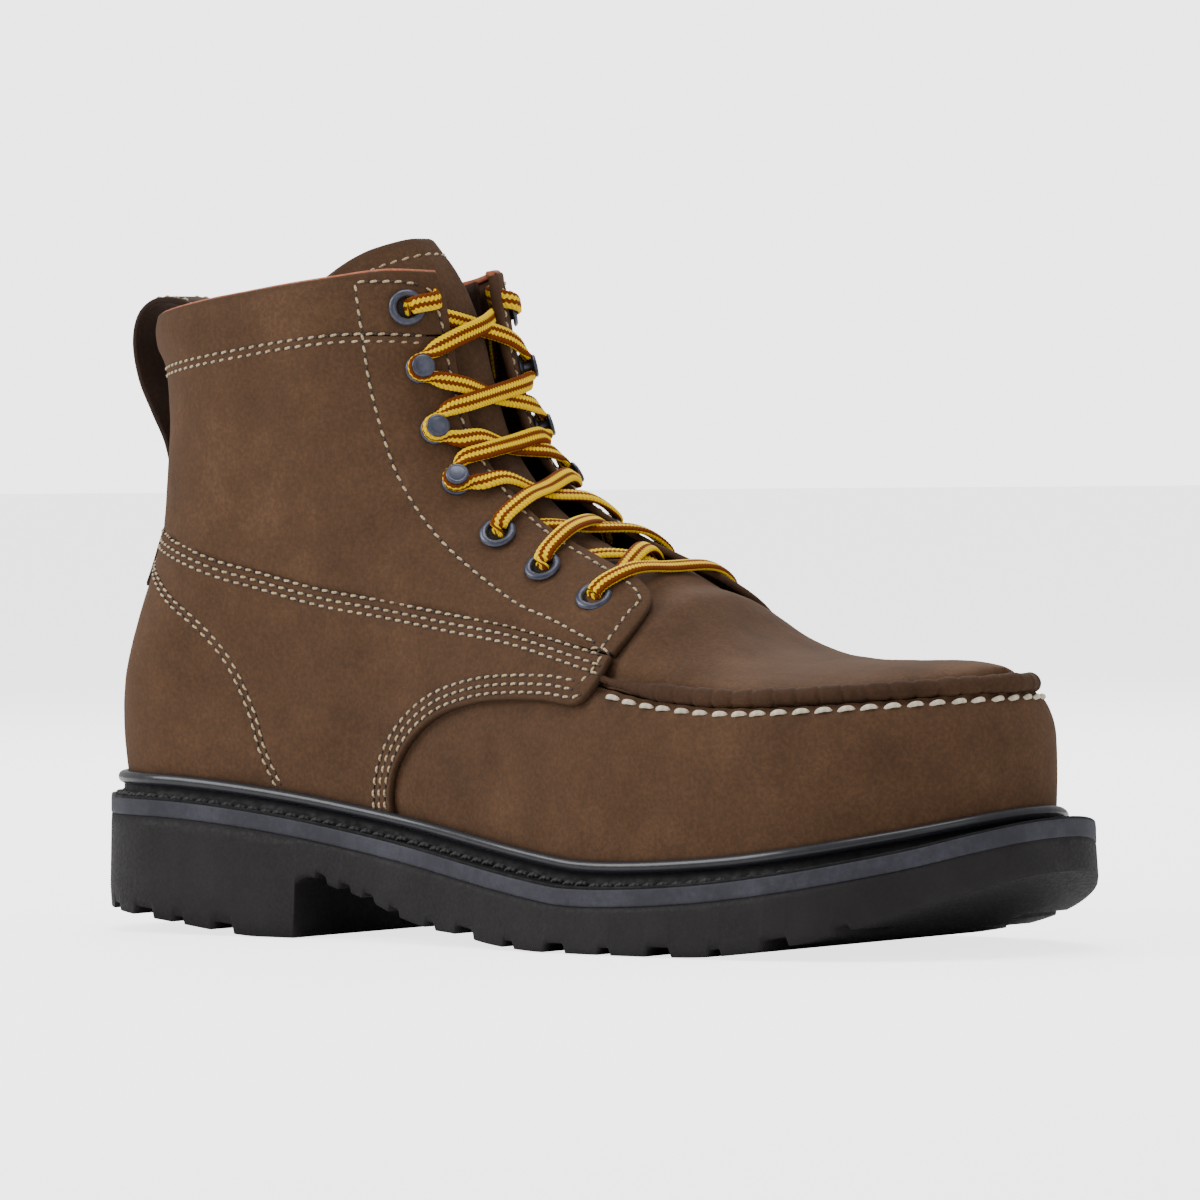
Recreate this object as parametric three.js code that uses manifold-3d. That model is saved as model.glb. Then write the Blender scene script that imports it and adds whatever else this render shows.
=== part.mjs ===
// A six-inch moc-toe safety boot for the right foot, in millimetres: +X to the toe, +Z up, -Y to the outer side.
// The shapes are drawn with the back of the heel at x = 0 and the ground at z = 0, and moved at the end so that
// the origin is at the centre of the footprint.
import * as THREE from 'three';
import { mergeVertices } from 'three/addons/utils/BufferGeometryUtils.js';
import Module from 'manifold-3d';

const wasm = await Module();
wasm.setup();

const { lerp, clamp, smoothstep } = THREE.MathUtils;
const OUTER = -1; // the outer side of the foot, at -Y
const INNER = 1;
const SIDES = { outer: OUTER, inner: INNER };

// Driving dimensions
const LENGTH = 314; // outsole, heel to toe
const HEEL_BACK = 4.5; // how far the upper stands in from the outsole at the heel
const TOE_LEDGE = 10; // the same at the toe
const GAP = 0.35; // between pieces that touch
const LEATHER = 2; // upper leather
const LINING = 1.2;
const LINING_DEPTH = 4.5; // outer face of the lining below the outer face of the leather
const WELT_BASE = 2.5;
const RAND_HEIGHT = 7; // welt's upstanding bead above the ledge
const MIDSOLE = 4.4;
const FOOTBED = 5;
const HOLE_RADIUS = 3.8; // through the leather
const EYELET_BORE = 3.1;
const EYELET_FLANGE = 5.2;
const LACE_WIDTH = 5;
const LACE_THICKNESS = 1.9;

// A smooth curve through a few [x, y] points, flat beyond its ends.
function through(points) {
  const slope = (i) => {
    const a = points[Math.max(i - 1, 0)];
    const b = points[Math.min(i + 1, points.length - 1)];
    return (b[1] - a[1]) / (b[0] - a[0]);
  };
  return (x) => {
    if (x <= points[0][0]) return points[0][1];
    const last = points.length - 1;
    if (x >= points[last][0]) return points[last][1];
    const i = points.findIndex((p) => p[0] > x) - 1;
    const [x0, y0] = points[i];
    const [x1, y1] = points[i + 1];
    const h = x1 - x0;
    const t = (x - x0) / h;
    return y0 * (1 + 2 * t) * (1 - t) ** 2 + slope(i) * h * t * (1 - t) ** 2
      + y1 * t * t * (3 - 2 * t) + slope(i + 1) * h * t * t * (t - 1);
  };
}

// Rises from 0 to 1 as a quarter of a round end.
const arch = (u, power = 2) => (1 - (1 - clamp(u, 0, 1)) ** power) ** (1 / power);

// ---- Plan of the foot ----
const centreLine = through([[0, 0], [60, 1], [130, 3], [200, 3], [260, 4], [LENGTH, 6]]);
const soleWidth = {
  [OUTER]: through([[0, 39], [40, 39.5], [85, 40], [125, 44], [165, 53], [205, 59], [245, 59], [LENGTH, 56]]),
  [INNER]: through([[0, 39], [40, 38.5], [85, 34], [125, 32], [165, 43], [210, 52], [245, 52], [LENGTH, 50]]),
};
const ledge = through([[0, 4], [60, 5], [120, 6.5], [220, 8], [LENGTH, 9]]);
const UPPER_BACK = HEEL_BACK;
const UPPER_TIP = LENGTH - TOE_LEDGE;

const soleHalf = (x, side) => soleWidth[side](x) * arch(x / 38) * arch((LENGTH - x) / 62, 2.15);
const footWidth = (x, side) => soleWidth[side](x) - ledge(x);
const featherHalf = (x, side) => footWidth(x, side) * arch((x - UPPER_BACK) / 35)
  * arch((UPPER_TIP - x) / 54, 2.1);

// ---- Side view of the bottom ----
const treadLine = through([[0, 7.5], [22, 5.6], [41, 3.6], [55, 1.8], [66, 0.5], [74, 0], [87.5, 0], [88.5, 15],
  [104, 14], [116, 11], [128, 7], [142, 4.2], [152, 3.4], [168, 1.1], [186, 0], [228, 0], [245, 0.5], [258, 2.2],
  [271, 4.6], [286, 9], [300, 14.6], [LENGTH, 21.5]]);
const treadZ = (x) => Math.max(treadLine(x), 0);
const ledgeZ = through([[0, 38], [36, 37.8], [57, 36.5], [83, 33.7], [109, 30.1], [132, 26.7], [158, 22.7], [179, 19.6],
  [194, 18], [215, 18.2], [241, 20], [263, 22.8], [281, 26], [296, 29.5], [307, 33.2], [LENGTH, 36]]);

// ---- Side view of the upper ----
const backX = through([[38, 6], [50, 4.4], [60, 4], [72, 5.2], [86, 9.4], [100, 14.6], [112, 18.4], [128, 20.6],
  [142, 21.6], [156, 20.6], [164, 18.6], [171, 18], [180, 20], [200, 26]]);
const tipX = through([[30, UPPER_TIP], [56, UPPER_TIP + 0.4], [66, 301.5], [72, 298.5], [78, 294]]);
const ridge = new THREE.SplineCurve([[112.5, 212], [119.5, 190], [122.5, 180], [126.7, 160], [132.7, 141], [139.2, 131],
  [148, 123], [158.5, 116.5], [170.2, 111], [184.3, 105], [199, 97.5], [210, 90], [220, 83.5], [232, 79], [246, 76.8],
  [262, 76.4], [280, 76.4], [292, 75.5], [302, 74], [325, 72]].map(([x, z]) => new THREE.Vector2(x, z))).getPoints(90);

function distanceToRidge(x, z) {
  let best = Infinity;
  let inside = 1;
  for (let i = 0; i + 1 < ridge.length; i += 1) {
    const a = ridge[i];
    const b = ridge[i + 1];
    const t = clamp(((x - a.x) * (b.x - a.x) + (z - a.y) * (b.y - a.y)) / a.distanceToSquared(b), 0, 1);
    const d = Math.hypot(x - lerp(a.x, b.x, t), z - lerp(a.y, b.y, t));
    if (d < best) {
      best = d;
      inside = Math.sign((b.y - a.y) * (x - a.x) - (b.x - a.x) * (z - a.y));
    }
  }
  return best * inside;
}

const SHAFT_HALF = 38;
const ridgeRound = through([[118, 46], [160, 42], [196, 34], [225, 20], [250, 16], [LENGTH, 16]]);
// Half the upper's width at a side-view place; inset moves the whole skin inwards.
function upperHalf(x, z, side, inset = 0) {
  const width = lerp(footWidth(x, side), SHAFT_HALF, smoothstep(z, 48, 118)) - inset;
  const tuck = 1 - 0.03 * Math.exp(-Math.max(z - ledgeZ(x), 0) / 8);
  const backRound = lerp(34, 46, smoothstep(z, 60, 120));
  return width * tuck
    * arch((distanceToRidge(x, z) - inset) / ridgeRound(x), 2.2)
    * arch((x - backX(z) - inset) / backRound)
    * arch((tipX(z) - inset - x) / 54, 2.1);
}
const middle = (x, z) => centreLine(x) * smoothstep(-z, -150, -60);
// A point of the upper's outer face at a side-view place.
const onUpper = (x, z, side, inset = 0) => new THREE.Vector3(x, middle(x, z) + side * upperHalf(x, z, side, inset), z);

// The highest place of the skin at x, and the place on a station where the half width is y.
function search(inside, low, high) {
  for (let k = 0; k < 24; k += 1) {
    const m = (low + high) / 2;
    if (inside(m)) low = m;
    else high = m;
  }
  return low;
}
const topZ = (x, inset = 0) => search((z) => distanceToRidge(x, z) > inset, ledgeZ(x) + 8, 215);
const backSurface = (y, z, side, inset = 0) => search(
  (x) => upperHalf(x, z, side, inset) <= y, backX(z) + inset, backX(z) + 40,
);
function outward(x, z, side) {
  const h = 0.08;
  const slopeX = (upperHalf(x + h, z, side) - upperHalf(x - h, z, side)) / (2 * h);
  const slopeZ = (upperHalf(x, z + h, side) - upperHalf(x, z - h, side)) / (2 * h);
  return new THREE.Vector3(-slopeX, side, -slopeZ).normalize();
}

// ---- Solids from grids ----
// A closed body between two grids of points. Where the first or last row meets itself, it is left open.
function between(outer, inner, sealed = []) {
  const rows = outer.length;
  const columns = outer[0].length;
  const positions = [outer, inner].flatMap((grid) => grid.flat().flatMap((p) => p.toArray()));
  const index = [];
  const id = (i, j, layer) => layer * rows * columns + i * columns + j;
  const quad = (a, b, c, d) => index.push(a, b, c, a, c, d);
  for (let i = 0; i + 1 < rows; i += 1) {
    for (let j = 0; j + 1 < columns; j += 1) {
      quad(id(i, j, 0), id(i + 1, j, 0), id(i + 1, j + 1, 0), id(i, j + 1, 0));
      quad(id(i, j, 1), id(i, j + 1, 1), id(i + 1, j + 1, 1), id(i + 1, j, 1));
    }
    quad(id(i, 0, 0), id(i, 0, 1), id(i + 1, 0, 1), id(i + 1, 0, 0));
    const last = columns - 1;
    quad(id(i, last, 1), id(i, last, 0), id(i + 1, last, 0), id(i + 1, last, 1));
  }
  for (let j = 0; j + 1 < columns; j += 1) {
    if (!sealed.includes('first')) quad(id(0, j, 1), id(0, j, 0), id(0, j + 1, 0), id(0, j + 1, 1));
    const i = rows - 1;
    if (!sealed.includes('last')) quad(id(i, j, 0), id(i, j, 1), id(i, j + 1, 1), id(i, j + 1, 0));
  }
  return facingOut(positions, index);
}

// Joins the points that fall together, drops the flat faces and turns the body's faces outwards.
function facingOut(positions, index) {
  const raw = new THREE.BufferGeometry()
    .setAttribute('position', new THREE.Float32BufferAttribute(positions, 3))
    .setIndex(index);
  const body = mergeVertices(raw, 1e-3);
  const p = body.attributes.position;
  const faces = [];
  let volume = 0;
  const [a, b, c] = [0, 1, 2].map(() => new THREE.Vector3());
  for (let k = 0; k < body.index.count; k += 3) {
    const corner = [0, 1, 2].map((n) => body.index.getX(k + n));
    if (new Set(corner).size < 3) continue;
    [a, b, c].forEach((v, n) => v.fromBufferAttribute(p, corner[n]));
    volume += a.dot(b.cross(c));
    faces.push(corner);
  }
  return body.setIndex(faces.flatMap((f) => (volume < 0 ? f.reverse() : f)));
}

// A leather panel from a list of rows of side-view places { x, z, side }.
function panel(places, thickness = LEATHER, raise = 0, sealed = []) {
  const lift = (amount) => places.map((row) => row.map(
    ({ x, z, side }) => {
      const onMiddle = upperHalf(x, z, side) < 1e-6;
      const normal = outward(x, z, onMiddle ? OUTER : side);
      if (onMiddle) normal.setY(0).normalize();
      return onUpper(x, z, side).addScaledVector(normal, amount);
    },
  ));
  return between(lift(raise), lift(raise - thickness), sealed);
}

// Places inside four side-view edges: low and high run from u = 0 to 1, left and right from v = 0 to 1.
function patch({ low, high, left, right }) {
  return (u, v) => {
    const blend = (k) => lerp(left(v)[k], right(v)[k], u) + lerp(low(u)[k], high(u)[k], v)
      - lerp(lerp(low(0)[k], low(1)[k], u), lerp(high(0)[k], high(1)[k], u), v);
    return { x: blend(0), z: blend(1) };
  };
}
const steps = (n) => Array.from({ length: n + 1 }, (_, i) => i / n);
const fromSeam = (u) => 1 - Math.cos((u * Math.PI) / 2); // closer together where the skin turns across
function edge(points) {
  const curve = new THREE.SplineCurve(points.map(([x, z]) => new THREE.Vector2(x, z)));
  return (t) => curve.getPointAt(clamp(t, 0, 1)).toArray();
}
const above = (curve, amount) => (t) => [curve(t)[0], curve(t)[1] + amount];

// A closed ring or strip of sections: sections[i] is a closed loop of points, joined to the next one.
function sweep(sections, closed) {
  const count = sections.length;
  const size = sections[0].length;
  const positions = sections.flat().flatMap((p) => p.toArray());
  const index = [];
  const id = (i, j) => (i % count) * size + (j % size);
  for (let i = 0; i < (closed ? count : count - 1); i += 1) {
    for (let j = 0; j < size; j += 1) {
      index.push(id(i, j), id(i + 1, j), id(i + 1, j + 1), id(i, j), id(i + 1, j + 1), id(i, j + 1));
    }
  }
  if (!closed) {
    for (const [i, turn] of [[0, false], [count - 1, true]]) {
      const middle = sections[i].reduce((sum, p) => sum.add(p), new THREE.Vector3()).divideScalar(size);
      const centre = positions.length / 3;
      positions.push(...middle.toArray());
      for (let j = 0; j < size; j += 1) {
        index.push(...(turn ? [centre, id(i, j + 1), id(i, j)] : [centre, id(i, j), id(i, j + 1)]));
      }
    }
  }
  return facingOut(positions, index);
}

// ---- Booleans ----
function solidOf(geometry) {
  const bare = geometry.clone();
  for (const name of Object.keys(bare.attributes)) if (name !== 'position') bare.deleteAttribute(name);
  const merged = mergeVertices(bare, 1e-3);
  return new wasm.Manifold(new wasm.Mesh({
    numProp: 3,
    vertProperties: new Float32Array(merged.attributes.position.array),
    triVerts: new Uint32Array(merged.index.array),
  }));
}

function geometryOf(solid) {
  const mesh = solid.getMesh();
  return new THREE.BufferGeometry()
    .setAttribute('position', new THREE.BufferAttribute(mesh.vertProperties, 3))
    .setIndex(new THREE.BufferAttribute(mesh.triVerts, 1));
}

const cut = (geometry, tools) => geometryOf(tools.reduce((solid, tool) => solid.subtract(solidOf(tool)), solidOf(geometry)));

// ---- Materials and the group ----
const paint = (color, roughness = 0.8, metalness = 0) => new THREE.MeshStandardMaterial({ color, roughness, metalness });
const MATERIALS = {
  leather: paint(0x5a4232, 0.9),
  suede: paint(0x2c2320, 0.95),
  lining: paint(0xb0714f, 0.9),
  rubber: paint(0x2a2728, 0.85),
  welt: paint(0x26262e, 0.45),
  midsole: paint(0x4a4a50, 0.8),
  gunmetal: paint(0x5b5f73, 0.35, 0.8),
  steel: paint(0x9a9da2, 0.4, 1),
  board: paint(0xa58a63, 0.95),
  foam: paint(0x33363c, 0.95),
  lace: paint(0xe8c21c, 0.85),
};
const boot = new THREE.Group();
function add(name, geometry, material) {
  const mesh = new THREE.Mesh(geometry, MATERIALS[material]);
  mesh.name = name;
  boot.add(mesh);
  return mesh;
}
// ---- Sole: slabs between two side-view curves ----
const SOLE_STATIONS = 24;
function slab(half, back, tip, lowZ, highZ, stations = SOLE_STATIONS, flare = 0) {
  const sections = [];
  for (let k = 0; k < stations; k += 1) {
    const x = lerp(back, tip, (1 - Math.cos((Math.PI * (k + 0.5)) / stations)) / 2);
    const y = (side) => centreLine(x) + side * half(x, side);
    const out = (side) => y(side) + side * flare;
    sections.push([
      new THREE.Vector3(x, y(OUTER), highZ(x)),
      new THREE.Vector3(x, y(INNER), highZ(x)),
      new THREE.Vector3(x, out(INNER), lowZ(x)),
      new THREE.Vector3(x, out(OUTER), lowZ(x)),
    ]);
  }
  return sweep(sections, false);
}

const midsoleTop = (x) => ledgeZ(x) - WELT_BASE;
const outsoleTop = (x) => midsoleTop(x) - MIDSOLE - 2 * GAP;

function box(x0, x1, y0, y1, z0, z1) {
  return new THREE.BoxGeometry(x1 - x0, y1 - y0, z1 - z0)
    .translate((x0 + x1) / 2, (y0 + y1) / 2, (z0 + z1) / 2);
}

const LUG_DEPTH = 2.6;
const WIDE_GROOVE = 8;
const FINE_GROOVE = 4.5;
const GROOVE_REACH = 19; // in from the edge of the sole
function treadGrooves() {
  const grooves = [];
  const places = [[8, 1], [19, 0], [33, 1], [46, 0], [62, 1], [104, 0], [121, 1], [138, 0], [156, 1], [174, 0],
    [192, 1], [210, 0], [228, 1], [246, 0], [264, 1], [281, 0], [296, 1]];
  for (const [x, wide] of places) {
    const width = wide ? WIDE_GROOVE : FINE_GROOVE;
    const z = treadZ(x);
    for (const side of [OUTER, INNER]) {
      const edge = centreLine(x) + side * soleHalf(x, side);
      const ends = [edge - side * GROOVE_REACH, edge + side * 25].sort((a, b) => a - b);
      grooves.push(box(x - width / 2, x + width / 2, ends[0], ends[1], z - 12, z + LUG_DEPTH * (wide ? 1 : 0.75)));
    }
  }
  return grooves;
}

function outsole() {
  const body = slab(soleHalf, 0, LENGTH, treadZ, outsoleTop, 46, 1);
  return cut(body, treadGrooves());
}
add('outsole', outsole(), 'rubber');
add('midsole', slab(soleHalf, 0, LENGTH, (x) => outsoleTop(x) + GAP, (x) => midsoleTop(x) - GAP), 'midsole');

// ---- Welt: one L-shaped section with a bead, all round ----
function loopPoint(k, count) {
  // Once round the feather line: outer side from heel to toe, then back along the inner side.
  const angle = (2 * Math.PI * (k + 0.5)) / count;
  const side = Math.sin(angle) > 0 ? OUTER : INNER;
  const part = (1 - Math.cos(angle)) / 2;
  const x = lerp(UPPER_BACK, UPPER_TIP, part);
  const wall = onUpper(x, ledgeZ(x) + 3, side).setZ(ledgeZ(x));
  const edgeX = lerp(0, LENGTH, part);
  const edge = new THREE.Vector3(edgeX, centreLine(edgeX) + side * soleHalf(edgeX, side), ledgeZ(edgeX));
  return { wall, edge };
}
const WELT_STATIONS = 48;
function welt() {
  const sections = [];
  for (let k = 0; k < WELT_STATIONS; k += 1) {
    const { wall, edge } = loopPoint(k, WELT_STATIONS);
    const across = edge.clone().sub(wall).setZ(0);
    const out = across.clone().normalize();
    const at = (o, h) => wall.clone().addScaledVector(out, o).add(new THREE.Vector3(0, 0, h));
    const rim = (h) => edge.clone().add(new THREE.Vector3(0, 0, h));
    sections.push([
      at(-2.4, -WELT_BASE), at(-2.4, -0.2), at(0.9, -0.2), at(0.9, RAND_HEIGHT - 0.6), at(1.4, RAND_HEIGHT),
      at(2.6, RAND_HEIGHT - 0.8), at(3, RAND_HEIGHT - 2.2), at(2.2, RAND_HEIGHT - 3.4), at(3.4, 0.3), rim(0), rim(-WELT_BASE),
    ]);
  }
  return sweep(sections, true);
}
add('welt', welt(), 'welt');

// ---- Inside the sole ----
const inset = (amount) => (x, side) => Math.max(featherHalf(x, side) - amount, 1);
const fillerHalf = inset(8);
function bendToSole(geometry, lift) {
  const p = geometry.attributes.position;
  for (let i = 0; i < p.count; i += 1) p.setZ(i, p.getZ(i) + midsoleTop(p.getX(i)) + lift);
  return geometry;
}
const shankBar = (grow) => bendToSole(
  new THREE.BoxGeometry(110 + 2 * grow, 16 + 2 * grow, 1.3 + 2 * grow, 10, 1, 1).translate(117, 2, 1.35),
  0,
);
add('shank', shankBar(0), 'steel');
add('bottom_filler', cut(
  slab(fillerHalf, UPPER_BACK + 8, UPPER_TIP - 8, (x) => midsoleTop(x) + GAP, (x) => ledgeZ(x) + 0.1, 24),
  [shankBar(GAP)],
), 'foam');
const boardHalf = (x, side) => Math.max(upperHalf(x, ledgeZ(x) + 1, side, LEATHER + 1.7), 1);
add('insole_board', slab(boardHalf, UPPER_BACK + 3, UPPER_TIP - 3, (x) => ledgeZ(x) + 0.5, (x) => ledgeZ(x) + 2.4, 28), 'board');
const bedHalf = (x, side) => Math.max(upperHalf(x, ledgeZ(x) + 5, side, LINING_DEPTH + LINING + 0.9), 1);
add('footbed', slab(
  bedHalf, UPPER_BACK + 8, UPPER_TIP - 9,
  (x) => ledgeZ(x) + 3.1, (x) => ledgeZ(x) + 3.1 + FOOTBED, 28,
), 'foam');


// ---- Seams and edges of the upper, in the side view ----
const tripleSeam = edge([[12, 114], [34, 110.3], [48, 106.7], [61, 103.4], [73, 100.6], [95, 96], [118, 92.5],
  [141, 89.1], [165, 85.4], [186, 80.9], [199.4, 78]]);
const collarSeam = edge([[18, 156], [32, 157.4], [63, 160.8], [86, 163.7], [103, 165], [124.2, 164.5]]);
const collarTop = edge([[16, 171], [38, 173.2], [64, 176.4], [97, 180.6], [111.5, 182.6], [119.9, 182.2]]);
const quarterFront = edge([[119, 25], [119, 34], [119, 40.4], [121.8, 48.1], [128.8, 55.9], [139.2, 61.7], [153.7, 65.2],
  [167.6, 66.3], [181.2, 66.2], [192.5, 65.3], [197.5, 70.1], [199.4, 77.6]]);
const facingFront = edge([[199.6, 78.4], [201.2, 84.5], [200, 91.6], [194.3, 96.4], [188, 99.8], [177.3, 104.7],
  [166.8, 109.2], [157.2, 114.1], [147.2, 120.9], [138.2, 129.2], [132.2, 138], [128.8, 146.8], [126, 156.5],
  [124.3, 164.2]]);
const collarFront = edge([[124, 164.9], [123, 170], [121.4, 177.7], [119.8, 182.2]]);
const mocSeam = edge([[198, 70.2], [206, 68.3], [214, 66.9], [221, 66.1], [234, 65], [247, 64.8], [266, 65.7],
  [282, 66.8], [294, 67.8], [300.9, 68.2]]);
const vampRear = edge([[120.2, 25], [120.2, 34], [120.2, 40], [123, 47.2], [129.6, 54.7], [139.8, 60.4],
  [154, 63.4], [167.6, 64.5], [181.2, 64.3], [193.8, 63.1], [199.5, 68.8]]);
const seamBack = (z0, z1) => (v) => [backX(lerp(z0, z1, v)), lerp(z0, z1, v)];
const aboveWelt = (x) => ledgeZ(x) + 0.4;

// An edge from the back seam forwards, over evenly spaced x.
function fromBack(curve) {
  const [, z] = curve(0);
  const [endX] = curve(1);
  const start = backX(z);
  const table = steps(60).map((t) => curve(t));
  const height = through(table.filter(([x], i) => i === 0 || x > table[i - 1][0] + 0.2));
  return (u) => [lerp(start, endX, u), height(lerp(start, endX, u))];
}
const lowQuarter = (u) => {
  const x = lerp(backX(38.4), 119, u);
  return [x, aboveWelt(x)];
};
const places = (at, us, vs, side) => us.map((u) => vs.map((v) => ({ ...at(fromSeam(u), v), side })));

function quarterPanel(side) {
  const high = above(fromBack(tripleSeam), -0.2);
  const at = patch({
    low: lowQuarter, high, left: seamBack(38.4, high(0)[1]), right: (v) => quarterFront(lerp(0.055, 1, v)),
  });
  return panel(places(at, steps(14).map((u) => lerp(0.012, 1, u)), steps(8), side));
}
function shaftPanel(side) {
  const low = above(fromBack(tripleSeam), 0.2);
  const high = above(fromBack(collarSeam), -0.2);
  const at = patch({ low, high, left: seamBack(low(0)[1], high(0)[1]), right: facingFront });
  return panel(places(at, steps(14).map((u) => lerp(0.012, 1, u)), steps(11), side));
}
// Round the back in one piece, from the outer front edge to the inner one.
function roundBack(at, us, vs) {
  const half = (side) => places(at, us, vs, side);
  return [...half(OUTER).reverse(), ...half(INNER).slice(1)];
}
function collarBand() {
  const low = above(fromBack(collarSeam), 0.2);
  const high = fromBack(collarTop);
  const at = patch({ low, high, left: seamBack(low(0)[1], high(0)[1]), right: collarFront });
  return panel(roundBack(at, steps(13), steps(3)), 2.4, 0.3);
}
// Round the toe in one piece.
function vampWall() {
  const low = (u) => {
    const x = lerp(119.5, UPPER_TIP, u);
    return [x, aboveWelt(x)];
  };
  const top = (u) => {
    const [x, z] = mocSeam(u);
    return [lerp(x, tipX(z), u ** 12), z - 0.2];
  };
  const tipLow = aboveWelt(UPPER_TIP);
  const tip = (v) => {
    const z = lerp(tipLow, 68, v);
    return [tipX(z), z];
  };
  const at = patch({ low, high: top, left: (v) => vampRear(lerp(0.055, 1, v)), right: tip });
  const toTip = (u) => Math.sin((u * Math.PI) / 2);
  const half = (side) => steps(16).map((u) => steps(8).map((v) => {
    const { x, z } = at(toTip(u), v);
    return { x: Math.min(x, tipX(z)), z, side };
  }));
  return panel([...half(OUTER), ...half(INNER).reverse().slice(1)]);
}
const PLUG_REAR = 202.4;
const seamHeight = through(steps(40).map((t) => mocSeam(t)));
function plug() {
  const rows = steps(16).map((s) => {
    const along = Math.sin((s * Math.PI) / 2);
    const station = (z) => lerp(PLUG_REAR, tipX(z), along);
    const low = seamHeight(station(67)) + 0.2;
    const high = topZ(station(74));
    const half = (side) => steps(5).map((t) => {
      const y = upperHalf(station(low), low, side) * Math.cos((t * Math.PI) / 2);
      let z = lerp(low, high, t);
      if (s < 1 && t > 0 && t < 1) z = search((q) => upperHalf(station(q), q, side) > y, low, high);
      return { x: station(z), z, side };
    });
    return [...half(OUTER), ...half(INNER).reverse().slice(1)];
  });
  return panel(rows, LEATHER, 0, ['last']);
}
add('vamp', vampWall(), 'leather');
add('moc_plug', plug(), 'leather');
const eyeletPlaces = [[116.8, 172.2], [149.8, 110.5], [166.6, 101.3], [185.5, 93.3]];
const hookPlaces = [[121, 155.5], [126.2, 138.8], [134.4, 124.6]];

function alongNormal(geometry, x, z, side, lift = 0) {
  const normal = outward(x, z, side);
  const turn = new THREE.Quaternion().setFromUnitVectors(new THREE.Vector3(0, 0, 1), normal);
  return geometry.applyQuaternion(turn).translate(...onUpper(x, z, side).addScaledVector(normal, lift).toArray());
}
const bores = (side, list) => list.map(([x, z]) => alongNormal(
  new THREE.CylinderGeometry(HOLE_RADIUS, HOLE_RADIUS, 14, 20).rotateX(Math.PI / 2), x, z, side,
));
for (const [name, side] of Object.entries(SIDES)) {
  add(`quarter_${name}`, quarterPanel(side), 'leather');
  add(`shaft_${name}`, cut(shaftPanel(side), bores(side, eyeletPlaces.slice(1))), 'leather');
}
add('collar', cut(collarBand(), [OUTER, INNER].flatMap((side) => bores(side, eyeletPlaces.slice(0, 1)))), 'leather');


// ---- Inner layers, each between two insets of the same skin ----
const FLOOR = 3.4; // above the ledge, clear of the insole board
function liningBack() {
  const edgeOf = edge([[170, 26], [184, 44], [187, 62], [184, 80], [166, 92], [152, 98], [138, 106], [125, 118],
    [115, 134], [108, 152], [105, 168], [103, 180]]);
  const layer = (inset) => {
    const back = (v) => {
      const z = lerp(38.4 + FLOOR, 169.5, v);
      return [backX(z) + inset, z];
    };
    const low = (u) => {
      const x = lerp(back(0)[0], 170, u);
      return [x, ledgeZ(x) + FLOOR];
    };
    const high = (u) => {
      const x = lerp(back(1)[0], 103, u);
      return [x, lerp(169.5, 180, u)];
    };
    const at = patch({ low, high, left: back, right: edgeOf });
    return roundBack(at, steps(13), steps(9)).map((row) => row.map(({ x, z, side }) => onUpper(x, z, side, inset)));
  };
  return between(layer(LINING_DEPTH), layer(LINING_DEPTH + LINING));
}
// A cup over the toe: sections from the rear edge to the tip, each from the outer floor over the top.
function toeCup(rear, outside, inside, floor) {
  const layer = (inset) => steps(11).map((s) => steps(16).map((t) => {
    const phi = 2 * t - 1;
    const side = phi < 0 ? OUTER : INNER;
    const along = Math.sin((s * Math.PI) / 2);
    const top = topZ(lerp(rear(78), tipX(70) - inset, along), inset);
    const height = Math.cos((phi * Math.PI) / 2);
    const footing = ledgeZ(lerp(rear(24), UPPER_TIP - inset, along)) + floor;
    let z = lerp(footing, top, height);
    const x = lerp(rear(z), tipX(z) - inset, along);
    z = Math.min(z, topZ(x, inset));
    return s === 1 ? new THREE.Vector3(x, middle(x, z), z) : onUpper(x, z, side, inset);
  }));
  return between(layer(outside), layer(inside), ['last']);
}
const vampLiningRear = through([[20, 171.5], [44, 185.5], [62, 188.5], [82, 188.5], [90, 203], [100, 206]]);
function stiffener() {
  const layer = (inset) => {
    const back = (v) => {
      const z = lerp(38.4 + FLOOR, 84, v);
      return [backX(z) + inset, z];
    };
    const front = edge([[76, 38], [70, 56], [62, 72], [50, 84]]);
    const low = (u) => {
      const x = lerp(back(0)[0], 76, u);
      return [x, ledgeZ(x) + FLOOR];
    };
    const high = (u) => [lerp(back(1)[0], 50, u), 84];
    const at = patch({ low, high, left: back, right: front });
    return roundBack(at, steps(12), steps(4)).map((row) => row.map(({ x, z, side }) => onUpper(x, z, side, inset)));
  };
  return between(layer(2.5), layer(3.7));
}
add('lining_quarter', liningBack(), 'lining');
add('lining_vamp', toeCup(vampLiningRear, LINING_DEPTH, LINING_DEPTH + LINING, FLOOR), 'lining');
add('toe_cap', toeCup(() => 254, 2.7, 4.1, FLOOR), 'steel');
add('heel_stiffener', stiffener(), 'board');

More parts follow.
